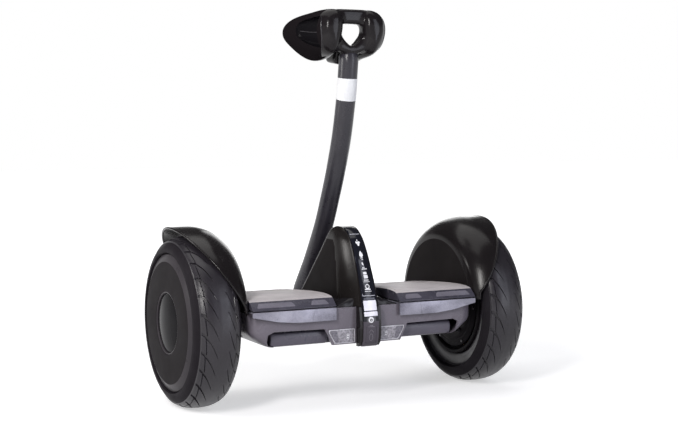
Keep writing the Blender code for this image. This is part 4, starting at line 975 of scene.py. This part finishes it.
def build_mat(name, side):
    body = f"{name}_mat"
    smooth = [tuple(point) for point in catmull(MAT_TOP, 60)]
    outline = [(MAT_FOOT, MAT_LOW), (-MAT_FOOT, MAT_LOW), (-0.1018, MAT_LOW + 0.0012)] + smooth
    mesh = prism("YZ", [fillet(outline, 0.0012)], side * PEDAL_NEAR, side * PEDAL_FAR,
                 MAT_ROUND, 3)
    piece = add_piece(f"mat_{name}_body", mesh, body, "mat_rubber", "mat_top",
                      [f"foot_mat_{name}"], 30)
    add_finish(piece, "mat_edge",
               lambda face: face.center.y + ORIGIN_Y < MAT_REAR or abs(face.normal.x) > 0.8)

    along = SLOPE_HIGH - SLOPE_LOW
    out = Vector((0.0, -along.z, along.y)).normalized()
    for number, (near, far) in enumerate(MAT_INSETS):
        corners = [(near, INSET_LOW), (far, INSET_LOW), (far - INSET_TAPER, INSET_HIGH),
                   (near + INSET_TAPER, INSET_HIGH)]
        shape = fillet([Vector((side * x, 0.0, 0.0)) + SLOPE_LOW + along * share
                        for x, share in corners], INSET_ROUND)
        middle = sum(shape, Vector()) / len(shape)
        rings = [[point + out * lift for point in shape] for lift in INSET_LIFTS]
        rings.append([point + (middle - point) * 0.02 + out * INSET_CROWN for point in shape])
        add_piece(f"mat_{name}_inset_{number}", skin(rings), body, "mat_rubber", "mat_panel",
                  (), 30)

    path = [(x, y, interpolate(smooth, y) + 0.0001)
            for x, y in border_line(on_side(BORDER, side), BORDER_ROUND, 12)]
    add_piece(f"mat_{name}_border", tube(path, BORDER_RADIUS, 8, True), body, "mat_rubber",
              "mat_top")


def border_line(points, radius, between):
    """A closed flat outline with round corners and extra points along its straights."""
    rounded = fillet(points, radius, True, 6)
    line = []
    for i, point in enumerate(rounded):
        following = rounded[(i + 1) % len(rounded)]
        count = between if (following - point).length > radius else 1
        line += [point + (following - point) * step / count for step in range(count)]
    return line


def build_tray(name, side):
    mesh = prism("YZ", [fillet(TRAY_OUTLINE, 0.0009)], side * PEDAL_NEAR, side * PEDAL_FAR,
                 0.0004, 1)
    rise = prism("XZ", [on_side(TRAY_RISE, side)], -0.11, 0.11)
    add_piece(f"tray_{name}_skirt", cut(mesh, [rise]), "base", "tray_silver", "silver",
              [f"pedal_tray_{name}"], 30)
    for number, y in enumerate((-TRAY_HALF, TRAY_HALF)):
        path = [(side * x, y, z) for x, z in TRAY_SEAM]
        add_piece(f"tray_{name}_seam_{number}", tube(path, THIN_LINE, 8), "base",
                  "tray_silver", "silver")


def lamp_outline(side, inset):
    inner, outer, foot = 0.0201 + inset, 0.0631 - inset, 0.0536 - inset
    low, high = 0.0955 + inset, 0.1164 - inset
    outline = [(inner, low), (foot, low), (outer, high - 0.004), (outer, high), (inner, high)]
    return fillet(on_side(outline, side), 0.0022, True, 5)


def build_lamp(name, side, end, node, slot, lens_material):
    """A lamp of the front or rear panel: pale rim, lens, inner zone and two bright points."""
    face = end * LAMP_FACE
    lamp = f"{node}_{name}"
    lens = prism("XZ", [lamp_outline(side, LENS_INSET)], end * LENS_BACK,
                 face - end * LENS_SUNK, 0.0005)
    add_piece(f"{lamp}_lens", lens, "base", slot, lens_material, [lamp], 30)
    rim = prism("XZ", [lamp_outline(side, 0.0), lamp_outline(side, RIM_WIDTH)], end * RIM_BACK,
                face, 0.0002, 1)
    add_piece(f"{lamp}_rim", rim, "base", slot, "lamp_rim", (), 30)
    zone = fillet(on_side(LAMP_ZONE, side), 0.002)
    add_piece(f"{lamp}_zone", prism("XZ", [zone], face - end * 0.0010, face - end * 0.0001),
              "base", slot, "lamp_dark", (), 30)
    oval = [(x, face - end * 0.0003, z)
            for x, z in disc(side * POINT_X, OVAL_Z, OVAL_RADIUS, 32, OVAL_STRETCH)]
    add_piece(f"{lamp}_oval", tube(oval, THIN_LINE, 8, True), "base", slot, "lamp_rim")
    for number, z in enumerate(POINT_HEIGHTS):
        point = rod((side * POINT_X, face - end * 0.0002, z), "Y", 0.0011, 0.0006, 20, 0.0001)
        add_piece(f"{lamp}_point_{number}", point, "base", slot, "white")


# Shell round the chassis and the bars over the battery

# Levels of the shell: height, side and end
SHELL_LEVELS = [(0.1484, 0.1872, 0.0957), (0.1330, 0.1873, 0.0957), (0.1200, 0.1872, 0.0956),
                (0.1150, 0.1842, 0.0945), (0.1095, 0.1780, 0.0926), (0.1040, 0.1705, 0.0905),
                (0.0990, 0.1625, 0.0885), (0.0960, 0.1560, 0.0865), (0.0954, 0.1520, 0.0845)]
SHELL_ROUND = 0.0186
SHELL_SKIN = 0.0030
# Section of the bars over the battery as (Y, Z), and where they start and end
BAR_OUTLINE = [(0.0740, 0.0957), (0.0798, 0.0948), (0.0838, 0.0968), (0.0852, 0.1030),
               (0.0852, 0.1095), (0.0838, 0.1145), (0.0805, 0.1162), (0.0740, 0.1162)]
BAR_NEAR = 0.0600
BAR_FAR = 0.1524
# What is taken off each corner of the casting
CASTING_LOW = 0.10
CASTING_HIGH = 0.16
CASTING_CORNER = ((0.1650, 0.1000), (0.1650, 0.0860), (0.1850, 0.0700), (0.1950, 0.0700),
                  (0.1950, 0.1000))


def shell_ring(side, x, y, z):
    """Level section of the shell: round corner, side, round corner, and back inside."""
    inside = 0.1500 if z > 0.1190 else min(0.1605, x - 0.0050)
    halves = []
    for end in (-1, 1):
        half = []
        for step in range(13):
            turn = radians(90 * step / 12)
            across, along = sin(turn) ** 0.9, cos(turn) ** 0.9
            half.append((x - (x - inside) * (1.0 - across),
                         end * (y - SHELL_ROUND * (1.0 - along))))
        halves.append(half)
    outer = halves[0] + halves[1][::-1]
    inner = [(px - SHELL_SKIN * (0.25 + 0.75 * (px - inside) / (x - inside)),
              py - copysign(SHELL_SKIN, py)) for px, py in reversed(outer)]
    return [(side * px, py, z) for px, py in outer + inner]


def build_shell(name, side):
    mesh = skin([shell_ring(side, x, y, z) for z, x, y in SHELL_LEVELS])
    add_piece(f"side_shell_{name}", mesh, "base", "panel", "panel", (), 50)
    for end, label in ((-1, "rear"), (1, "front")):
        section = fillet(on_side(BAR_OUTLINE, end), 0.0022, True, 5)
        mesh = prism("YZ", [section], side * BAR_NEAR, side * BAR_FAR, 0.0030, 6)
        add_piece(f"battery_bar_{name}_{label}", mesh, "base", "panel", "case", (), 40)


def build_chassis():
    """The cast frame with its corners taken off under the round shell."""
    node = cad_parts["chassis_frame"]
    mesh = node.data.copy()
    mesh.transform(Matrix.Translation((0.0, ORIGIN_Y, 0.0)) @ node.matrix_world)
    corners = [prism("XY", [[(side * x, end * y) for x, y in CASTING_CORNER]], CASTING_LOW,
                     CASTING_HIGH) for side in (-1, 1) for end in (-1, 1)]
    add_piece("chassis_casting", cut(mesh, corners), "base", "cast_frame", "cast",
              ["chassis_frame"], 35)


# Stem and head

STEM_RADIUS = 0.0150
STEM_FOOT = (0.0, 0.1330, 0.1165)
# The stem's bend as (Y, Z), up to where its top closes in a dome
STEM_SWEEP = [(0.1330, 0.1420), (0.1290, 0.1520), (0.1080, 0.1785), (0.0872, 0.2053),
              (0.0513, 0.2594), (0.0280, 0.3051), (0.0082, 0.3480), (-0.0118, 0.4009),
              (-0.0260, 0.4557), (-0.0299, 0.4783), (-0.0336, 0.5039), (-0.0350, 0.5150)]
DOME_BASE = (-0.0350, 0.5195)
DOME_LEAN = 0.0020
DOME_HEIGHT = 0.0130
BAND_RADIUS = 0.01512
BAND_LOW = 0.4532
BAND_HIGH = 0.4918
# Right halves of the ring and its hole, and of the blended form that it runs out into
RING_HALF = [(0.0165, 0.5280), (0.0240, 0.5320), (0.0300, 0.5415), (0.0310, 0.5500),
             (0.0310, 0.5800), (0.0295, 0.5860), (0.0240, 0.5893)]
RING_RIM = [(0.0140, 0.5494), (0.0192, 0.5571), (0.0203, 0.5624), (0.0190, 0.5668),
            (0.0150, 0.5703)]
BLEND_HALF = [(0.0150, 0.5255), (0.0240, 0.5300), (0.0320, 0.5400), (0.0360, 0.5500),
              (0.0360, 0.5800), (0.0330, 0.5880), (0.0240, 0.5915)]
BLEND_RIM = [(0.0140, 0.5480), (0.0186, 0.5568), (0.0194, 0.5624), (0.0184, 0.5670),
             (0.0140, 0.5690)]
# The chin as (Y, Z), and the neck that joins it to the stem
CHIN = [(-0.0440, 0.5288), (-0.0200, 0.5288), (-0.0190, 0.5090), (0.0150, 0.5130),
        (0.0200, 0.5190), (0.0100, 0.5310), (-0.0300, 0.5330), (-0.0440, 0.5330)]
NECK_LEVELS = (0.5120, 0.5200, 0.5260, 0.5320, 0.5345)
NECK_RADII = [0.0120, 0.0126, 0.0122, 0.0100, 0.0050]
VOXEL = 0.0013
# The part of the blended form that is kept, as it is seen from behind
BLEND_KEEP = [(-0.0440, 0.50), (0.0440, 0.50), (0.0440, 0.62), (-0.0440, 0.62)]


def build_stem():
    path = [Vector(STEM_FOOT)] + catmull([(0.0, y, z) for y, z in STEM_SWEEP], 96)
    radii = [STEM_RADIUS] * len(path)
    for step in range(1, 11):
        turn = radians(88 * step / 10)
        path.append(Vector((0.0, DOME_BASE[0] + DOME_LEAN * sin(turn),
                            DOME_BASE[1] + DOME_HEIGHT * sin(turn))))
        radii.append(STEM_RADIUS * cos(turn))
    add_piece("stem_column", tube(path, radii, 56), "steering", "stem_paint", "stem",
              ["stem_tube"], 50)
    band = [point for point in path if BAND_LOW < point.z < BAND_HIGH]
    add_piece("stem_band", tube(band, BAND_RADIUS, 56), "steering", "stem_paint", "band", (), 50)


def head_form(half, rim, hole_low, near, far):
    """The ring of the head round its hand hole."""
    outer = fillet(mirrored(half), 0.006, True, 5)
    hole = fillet([(0.0, hole_low)] + mirrored(rim), 0.004, True, 5)
    return prism("XZ", [outer, hole], near, far, 0.0045, 5)


def build_head():
    add_piece("head_ring", head_form(RING_HALF, RING_RIM, 0.5328, -0.0452, -0.0318), "steering",
              "stem_paint", "pad", ["head_frame"], 50)


def build_head_blend(pads):
    """Chin and hollow curves in which the ring's arms run out into the pads and the stem."""
    core = head_form(BLEND_HALF, BLEND_RIM, 0.5350, -0.0500, -0.0285)
    chin = prism("YZ", [fillet(CHIN, 0.0018, True, 5)], -0.0155, 0.0155, 0.0042, 4)
    neck = tube([(0.0, -0.0350, z) for z in NECK_LEVELS], NECK_RADII, 32)
    shape = bmesh.new()
    for mesh in [core, chin, neck] + pads:
        shape.from_mesh(mesh)
    joined = bpy.data.meshes.new("joined")
    shape.to_mesh(joined)
    shape.free()
    blended = applied(joined, [
        ("REMESH", {"mode": "VOXEL", "voxel_size": VOXEL, "use_smooth_shade": True}),
        ("SMOOTH", {"factor": 0.7, "iterations": 70})])
    blended = cut(blended, [prism("XZ", [BLEND_KEEP], -0.08, 0.03)], "INTERSECT")
    add_piece("head_blend", blended, "steering", "stem_paint", "pad", (), 60)


# Knee pads

# Sections of the right pad from its rear to its front: Y, then the outline as (X, Z)
PAD_SECTIONS = [
    (-0.0552, [(0.0240, 0.5842), (0.0340, 0.5847), (0.0425, 0.5812), (0.0480, 0.5747),
               (0.0505, 0.5650), (0.0495, 0.5535), (0.0445, 0.5415), (0.0355, 0.5310),
               (0.0285, 0.5335), (0.0230, 0.5470), (0.0200, 0.5620), (0.0200, 0.5762)]),
    (-0.0490, [(0.0210, 0.5887), (0.0330, 0.5894), (0.0445, 0.5852), (0.0515, 0.5772),
               (0.0548, 0.5650), (0.0540, 0.5520), (0.0482, 0.5375), (0.0355, 0.5255),
               (0.0268, 0.5290), (0.0203, 0.5455), (0.0166, 0.5620), (0.0166, 0.5792)]),
    (-0.0330, [(0.0240, 0.5887), (0.0360, 0.5897), (0.0480, 0.5872), (0.0560, 0.5802),
               (0.0592, 0.5670), (0.0582, 0.5520), (0.0522, 0.5355), (0.0385, 0.5230),
               (0.0260, 0.5220), (0.0205, 0.5360), (0.0212, 0.5560), (0.0208, 0.5792)]),
    (-0.0130, [(0.0330, 0.5854), (0.0430, 0.5867), (0.0540, 0.5837), (0.0617, 0.5762),
               (0.0647, 0.5650), (0.0633, 0.5520), (0.0562, 0.5350), (0.0400, 0.5238),
               (0.0268, 0.5178), (0.0243, 0.5280), (0.0310, 0.5500), (0.0315, 0.5742)]),
    (0.0070, [(0.0430, 0.5824), (0.0500, 0.5837), (0.0590, 0.5814), (0.0662, 0.5752),
              (0.0697, 0.5650), (0.0688, 0.5530), (0.0622, 0.5378), (0.0460, 0.5218),
              (0.0318, 0.5145), (0.0288, 0.5240), (0.0400, 0.5450), (0.0425, 0.5692)]),
    (0.0230, [(0.0520, 0.5794), (0.0570, 0.5807), (0.0636, 0.5784), (0.0697, 0.5732),
              (0.0733, 0.5640), (0.0723, 0.5530), (0.0663, 0.5408), (0.0530, 0.5268),
              (0.0408, 0.5168), (0.0397, 0.5240), (0.0480, 0.5450), (0.0515, 0.5672)]),
    (0.0355, [(0.0600, 0.5754), (0.0635, 0.5762), (0.0682, 0.5740), (0.0727, 0.5692),
              (0.0753, 0.5620), (0.0743, 0.5530), (0.0702, 0.5448), (0.0620, 0.5358),
              (0.0548, 0.5298), (0.0538, 0.5360), (0.0570, 0.5490), (0.0595, 0.5652)]),
    (0.0440, [(0.0650, 0.5702), (0.0675, 0.5702), (0.0705, 0.5682), (0.0730, 0.5652),
              (0.0740, 0.5600), (0.0735, 0.5540), (0.0715, 0.5490), (0.0680, 0.5460),
              (0.0650, 0.5460), (0.0635, 0.5500), (0.0635, 0.5570), (0.0640, 0.5652)]),
]
# The round rear: size as a share of the first section, and how far it is moved along Y
PAD_REAR = ((0.26, -0.0062), (0.56, -0.0054), (0.82, -0.0032))
# The cage's other sections are larger by this, because subdivision draws them in
PAD_SWELL = 1.08
POCKET_FRONT = 0.0045
POCKET_DEPTH = 0.0240
# How far outside the pad's skin the funnel starts
POCKET_START = 0.0007
PAD_OUTWARD = Vector((0.955, -0.296, 0.0))
# Middle height and half height of the pocket from its front to its rear lip
POCKET_LINE = [(0.5590, 0.0070), (0.5592, 0.0130), (0.5578, 0.0172), (0.5570, 0.0200),
               (0.5566, 0.0222), (0.5563, 0.0236)]
# The lip as (Y, Z), running out forward on the skin below the pocket
LIP = [(-0.0440, 0.5815), (-0.0478, 0.5775), (-0.0498, 0.5715), (-0.0507, 0.5640),
       (-0.0507, 0.5545), (-0.0490, 0.5450), (-0.0435, 0.5350), (-0.0325, 0.5262),
       (-0.0200, 0.5208)]


def pocket_line(share):
    """Middle height and half height of the pocket at a share of its run."""
    place = share ** 0.8 * (len(POCKET_LINE) - 1)
    low = min(int(place), len(POCKET_LINE) - 2)
    (middle, half), (next_middle, next_half) = POCKET_LINE[low:low + 2]
    return (middle + (next_middle - middle) * (place - low),
            half + (next_half - half) * (place - low))


def pocket_end(z):
    """Where the pocket's rear lip is at a height."""
    for (y, top), (next_y, low) in zip(LIP, LIP[1:]):
        if low <= z <= top:
            return y + (next_y - y) * (top - z) / (top - low)
    return LIP[0][0]


def on_skin(tree, side, y, z):
    """The point of the pad's outer side at a place."""
    return tree.ray_cast(Vector((side * 0.12, y, z)), Vector((-side, 0.0, 0.0)))[0]


def pocket_solid(side, tree):
    """The funnel that is taken out of the pad."""
    rings = []
    for step in range(29):
        share = step / 28
        middle, half = pocket_line(share)
        ring = []
        for i in range(33):
            across = -1.0 + i / 16
            z = middle + half * across
            y = POCKET_FRONT + share * (pocket_end(z) - POCKET_FRONT)
            deep = (POCKET_DEPTH * share ** 0.6 * (1.0 - abs(across) ** 2.6) ** 0.6
                    - POCKET_START)
            ring.append((side * (abs(on_skin(tree, side, y, z).x) - PAD_OUTWARD.x * deep),
                         y - PAD_OUTWARD.y * deep, z))
        ring += [(side * 0.11, *ring[-1][1:]), (side * 0.11, *ring[0][1:])]
        rings.append(ring)
    return skin(rings)


def pad_form(side):
    """The full pad before its pocket is cut."""
    first, last = PAD_SECTIONS[0], PAD_SECTIONS[-1]
    sections = [(share, shift, first) for share, shift in PAD_REAR] + [(1.0, 0.0, first)]
    sections += [(PAD_SWELL, 0.0, section) for section in PAD_SECTIONS[1:]]
    rings = []
    for share, shift, (y, outline) in sections + [(0.5, 0.0055, last)]:
        middle_x = sum(x for x, _ in outline) / len(outline)
        middle_z = sum(z for _, z in outline) / len(outline)
        rings.append([(side * (middle_x + (x - middle_x) * share), y + shift,
                       middle_z + (z - middle_z) * share) for x, z in outline])
    return applied(skin(rings), [("SUBSURF", {"levels": 4, "render_levels": 4})])


def build_pad(name, side):
    """A fat padded shell with a funnel of a pocket behind its rear rim."""
    mesh = pad_form(side)
    full = mesh.copy()
    tree = BVHTree.FromPolygons([vertex.co.copy() for vertex in mesh.vertices],
                                [tuple(face.vertices) for face in mesh.polygons])
    pad = add_piece(f"pad_{name}_shell", cut(mesh, [pocket_solid(side, tree)]), "steering",
                    "pad_skin", "pad", [f"knee_pad_{name}"], 35)
    shift = Vector((0.0, ORIGIN_Y, 0.0))

    def in_pocket(face):
        return tree.find_nearest(face.center + shift)[3] > 0.0004

    def before_lip(face):
        place = face.center + shift
        return (not face.material_index and side * face.normal.x > 0.25
                and place.y > pocket_end(place.z))

    # Faces inside the pocket take the darker pocket finish, which is painted shade
    add_finish(pad, "pocket", in_pocket)
    add_finish(pad, "pad_side", before_lip)

    # The lip round the pocket's rear and the seam along its floor, lying on the skin. Their finish,
    # about twice as light as the pad's, is a painted highlight along the lip's edge and the
    # pocket's floor
    lip = [on_skin(tree, side, y, z) for y, z in catmull(LIP, 64)]
    widths = [0.0007 * ease(min(i, 63 - i) / 22) + 0.0001 for i in range(len(lip))]
    add_piece(f"pad_{name}_lip", tube(lip, widths, 8), "steering", "pad_skin", "pad_lip")
    line = []
    for step in range(21):
        share = 0.10 + 0.86 * step / 20
        z = pocket_line(share)[0]
        hit = on_skin(tree, side, POCKET_FRONT + share * (pocket_end(z) - POCKET_FRONT), z)
        deep = POCKET_DEPTH * share ** 0.6 - POCKET_START
        line.append(Vector((hit.x - side * (PAD_OUTWARD.x * deep - 0.0004),
                            hit.y - PAD_OUTWARD.y * deep, z)))
    add_piece(f"pad_{name}_seam", tube(line, 0.0008, 8), "steering", "pad_skin", "pad_lip")
    return full


# CAD solids that stay as they are, with softened edges

# Finish, width of the softened edges, and names of the solids
DRESSED = [
    ("cast", 0.0, "axle_clamp_left axle_clamp_right"), ("cast", 0.0008, "pivot_housing"),
    ("case", 0.0, "battery_case"), ("cell", 0.0, "battery_pack"),
    ("board", 0.0, "control_board display_board foot_switch_left foot_switch_right"),
    ("panel", 0.0007, "rear_panel front_panel"), ("satin", 0.0006, "tail_spine"),
    ("steel", 0.0, "charge_socket pivot_bearing_rear pivot_bearing_front stem_clamp_screw"),
    ("steel", 0.0, "wheel_bearing_left wheel_bearing_right"),
    ("steel", 0.0006, "axle_left axle_right steering_shaft"),
    ("copper", 0.0, "stator_left stator_right"), ("stem", 0.0, "stem_socket"),
    ("soft_rubber", 0.0, "centring_bush valve_stem_left valve_stem_right"),
]


def dress_nodes():
    for material, width, names in DRESSED:
        for name in names.split():
            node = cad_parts[name]
            weld = node.modifiers.new("weld", "WELD")
            weld.merge_threshold = PRISM_WELD
            if width:
                bevel = node.modifiers.new("bevel", "BEVEL")
                bevel.width = width
                bevel.segments = 3
                bevel.limit_method = "ANGLE"
                bevel.angle_limit = radians(35)
            node.data.materials.clear()
            node.data.materials.append(MATERIALS[material])


# Studio

WHITE = (1.0, 1.0, 1.0, 1.0)
WORLD_TINT = (0.92, 0.94, 1.0, 1.0)
WORLD_LIGHT = 0.20
# The backdrop is white below the first of these heights of view and dim above the second
BACKDROP_END = (0.12, 0.26)
BACKDROP_DIM = 0.07
FLOOR_HALF = 9
FLOOR_Z = -0.0004
# The floor's own light near the scooter, and the distances over which it grows to white
FLOOR_GLOW = 0.50
FLOOR_FADE = (0.55, 1.6)
LAMP_AIM = Vector((0.0, 0.0, 0.25))
# Name, place, size, power and colour of each lamp
LAMPS = [
    ("overhead", (-0.10, 0.30, 2.00), (1.80, 1.60), 15.5, (1.0, 0.99, 0.97)),
    ("left_rear", (-1.26, -1.14, 1.10), (0.28, 0.75), 24.0, (1.0, 0.98, 0.96)),
    ("left", (-1.51, 0.37, 0.66), (0.32, 0.60), 9.0, (1.0, 0.98, 0.96)),
    ("right_rear", (0.91, -1.78, 0.86), (0.60, 1.90), 14.5, (0.86, 0.89, 1.0)),
    ("right_front", (0.95, 1.60, 0.75), (0.60, 0.80), 3.0, (1.0, 1.0, 1.0)),
]
CAMERA_PLACE = (-0.93209, -1.88196, 0.42766)
CAMERA_AIM = Vector((0.004735, -0.008367, 0.269478))
CAMERA_LENS = 71.725


def shown_to_eye(tree):
    """1 for what the camera sees, also in gloss or through glass, and 0 for what gives light."""
    path = add_node(tree, "LightPath")
    seen = path.outputs["Is Camera Ray"]
    for name in ("Is Glossy Ray", "Is Transmission Ray"):
        more = add_node(tree, "Math", links={0: seen, 1: path.outputs[name]}, operation="MAXIMUM")
        seen = more.outputs[0]
    return seen


def build_world():
    world = bpy.data.worlds.new("studio")
    bpy.context.scene.world = world
    world.use_nodes = True
    tree = world.node_tree
    tree.nodes.clear()
    height = add_node(tree, "SeparateXYZ",
                      links={0: add_node(tree, "TexCoord").outputs["Generated"]})
    shade = spread(tree, height.outputs["Z"], 1.0, BACKDROP_DIM, *BACKDROP_END)
    lighting = add_node(tree, "Background", {"Color": WORLD_TINT, "Strength": WORLD_LIGHT})
    shown = add_node(tree, "Background", {"Color": WHITE}, {"Strength": shade})
    choose = add_node(tree, "MixShader", links={"Fac": shown_to_eye(tree), 1: lighting.outputs[0],
                                                2: shown.outputs[0]})
    add_node(tree, "OutputWorld", links={"Surface": choose.outputs[0]})


def build_floor():
    corners = [(x, y, FLOOR_Z) for x, y in bar(0, 0, FLOOR_HALF, 2 * FLOOR_HALF)]
    floor_mesh = mesh_of(corners, [(0, 1, 2, 3)])
    floor = put("floor", floor_mesh)
    material, tree, shader = new_material("floor_white")
    for key, value in {"Base Color": (0.72, 0.72, 0.73, 1.0), "Roughness": 0.9,
                       "Specular IOR Level": 0.1, "Emission Color": WHITE}.items():
        shader.inputs[key].default_value = value
    place = add_node(tree, "TexCoord").outputs["Object"]
    away = add_node(tree, "VectorMath", links={0: place}, operation="LENGTH").outputs["Value"]
    glow = add_node(tree, "Math", links={0: spread(tree, away, FLOOR_GLOW, 1.0, *FLOOR_FADE),
                                         1: shown_to_eye(tree)}, operation="MULTIPLY")
    link(tree, glow.outputs[0], shader.inputs["Emission Strength"])
    floor_mesh.materials.append(material)


def turn_to(thing, target):
    """Turns a lamp or the camera to look at a point."""
    thing.rotation_euler = (target - thing.location).to_track_quat("-Z", "Y").to_euler()


def build_studio():
    build_world()
    build_floor()
    for name, place, (width, height), power, colour in LAMPS:
        light = bpy.data.lights.new(name, "AREA")
        light.shape = "RECTANGLE"
        light.size, light.size_y = width, height
        light.energy = power
        light.color = colour
        lamp = put(name, light)
        lamp.location = place
        turn_to(lamp, LAMP_AIM)
    lens = bpy.data.cameras.new("camera")
    lens.lens = CAMERA_LENS
    lens.sensor_width = 36.0
    camera = put("camera", lens)
    camera.location = CAMERA_PLACE
    turn_to(camera, CAMERA_AIM)
    bpy.context.scene.camera = camera
    bpy.context.scene.view_settings.view_transform = "Standard"


dress_nodes()
pad_forms = []
for side_name, sign in SIDES.items():
    build_wheel(side_name, sign)
    build_fender(side_name, sign)
    build_mat(side_name, sign)
    build_tray(side_name, sign)
    build_shell(side_name, sign)
    build_lamp(side_name, sign, -1, "tail_lamp", "lamp_grey", "lamp")
    build_lamp(side_name, sign, 1, "headlight", "lamp_clear", "lamp_clear")
    pad_forms.append(build_pad(side_name, sign))
build_chassis()
build_hump()
build_saddle()
build_strip()
build_marks()
build_button()
build_flap()
build_stem()
build_head()
build_head_blend(pad_forms)
build_studio()
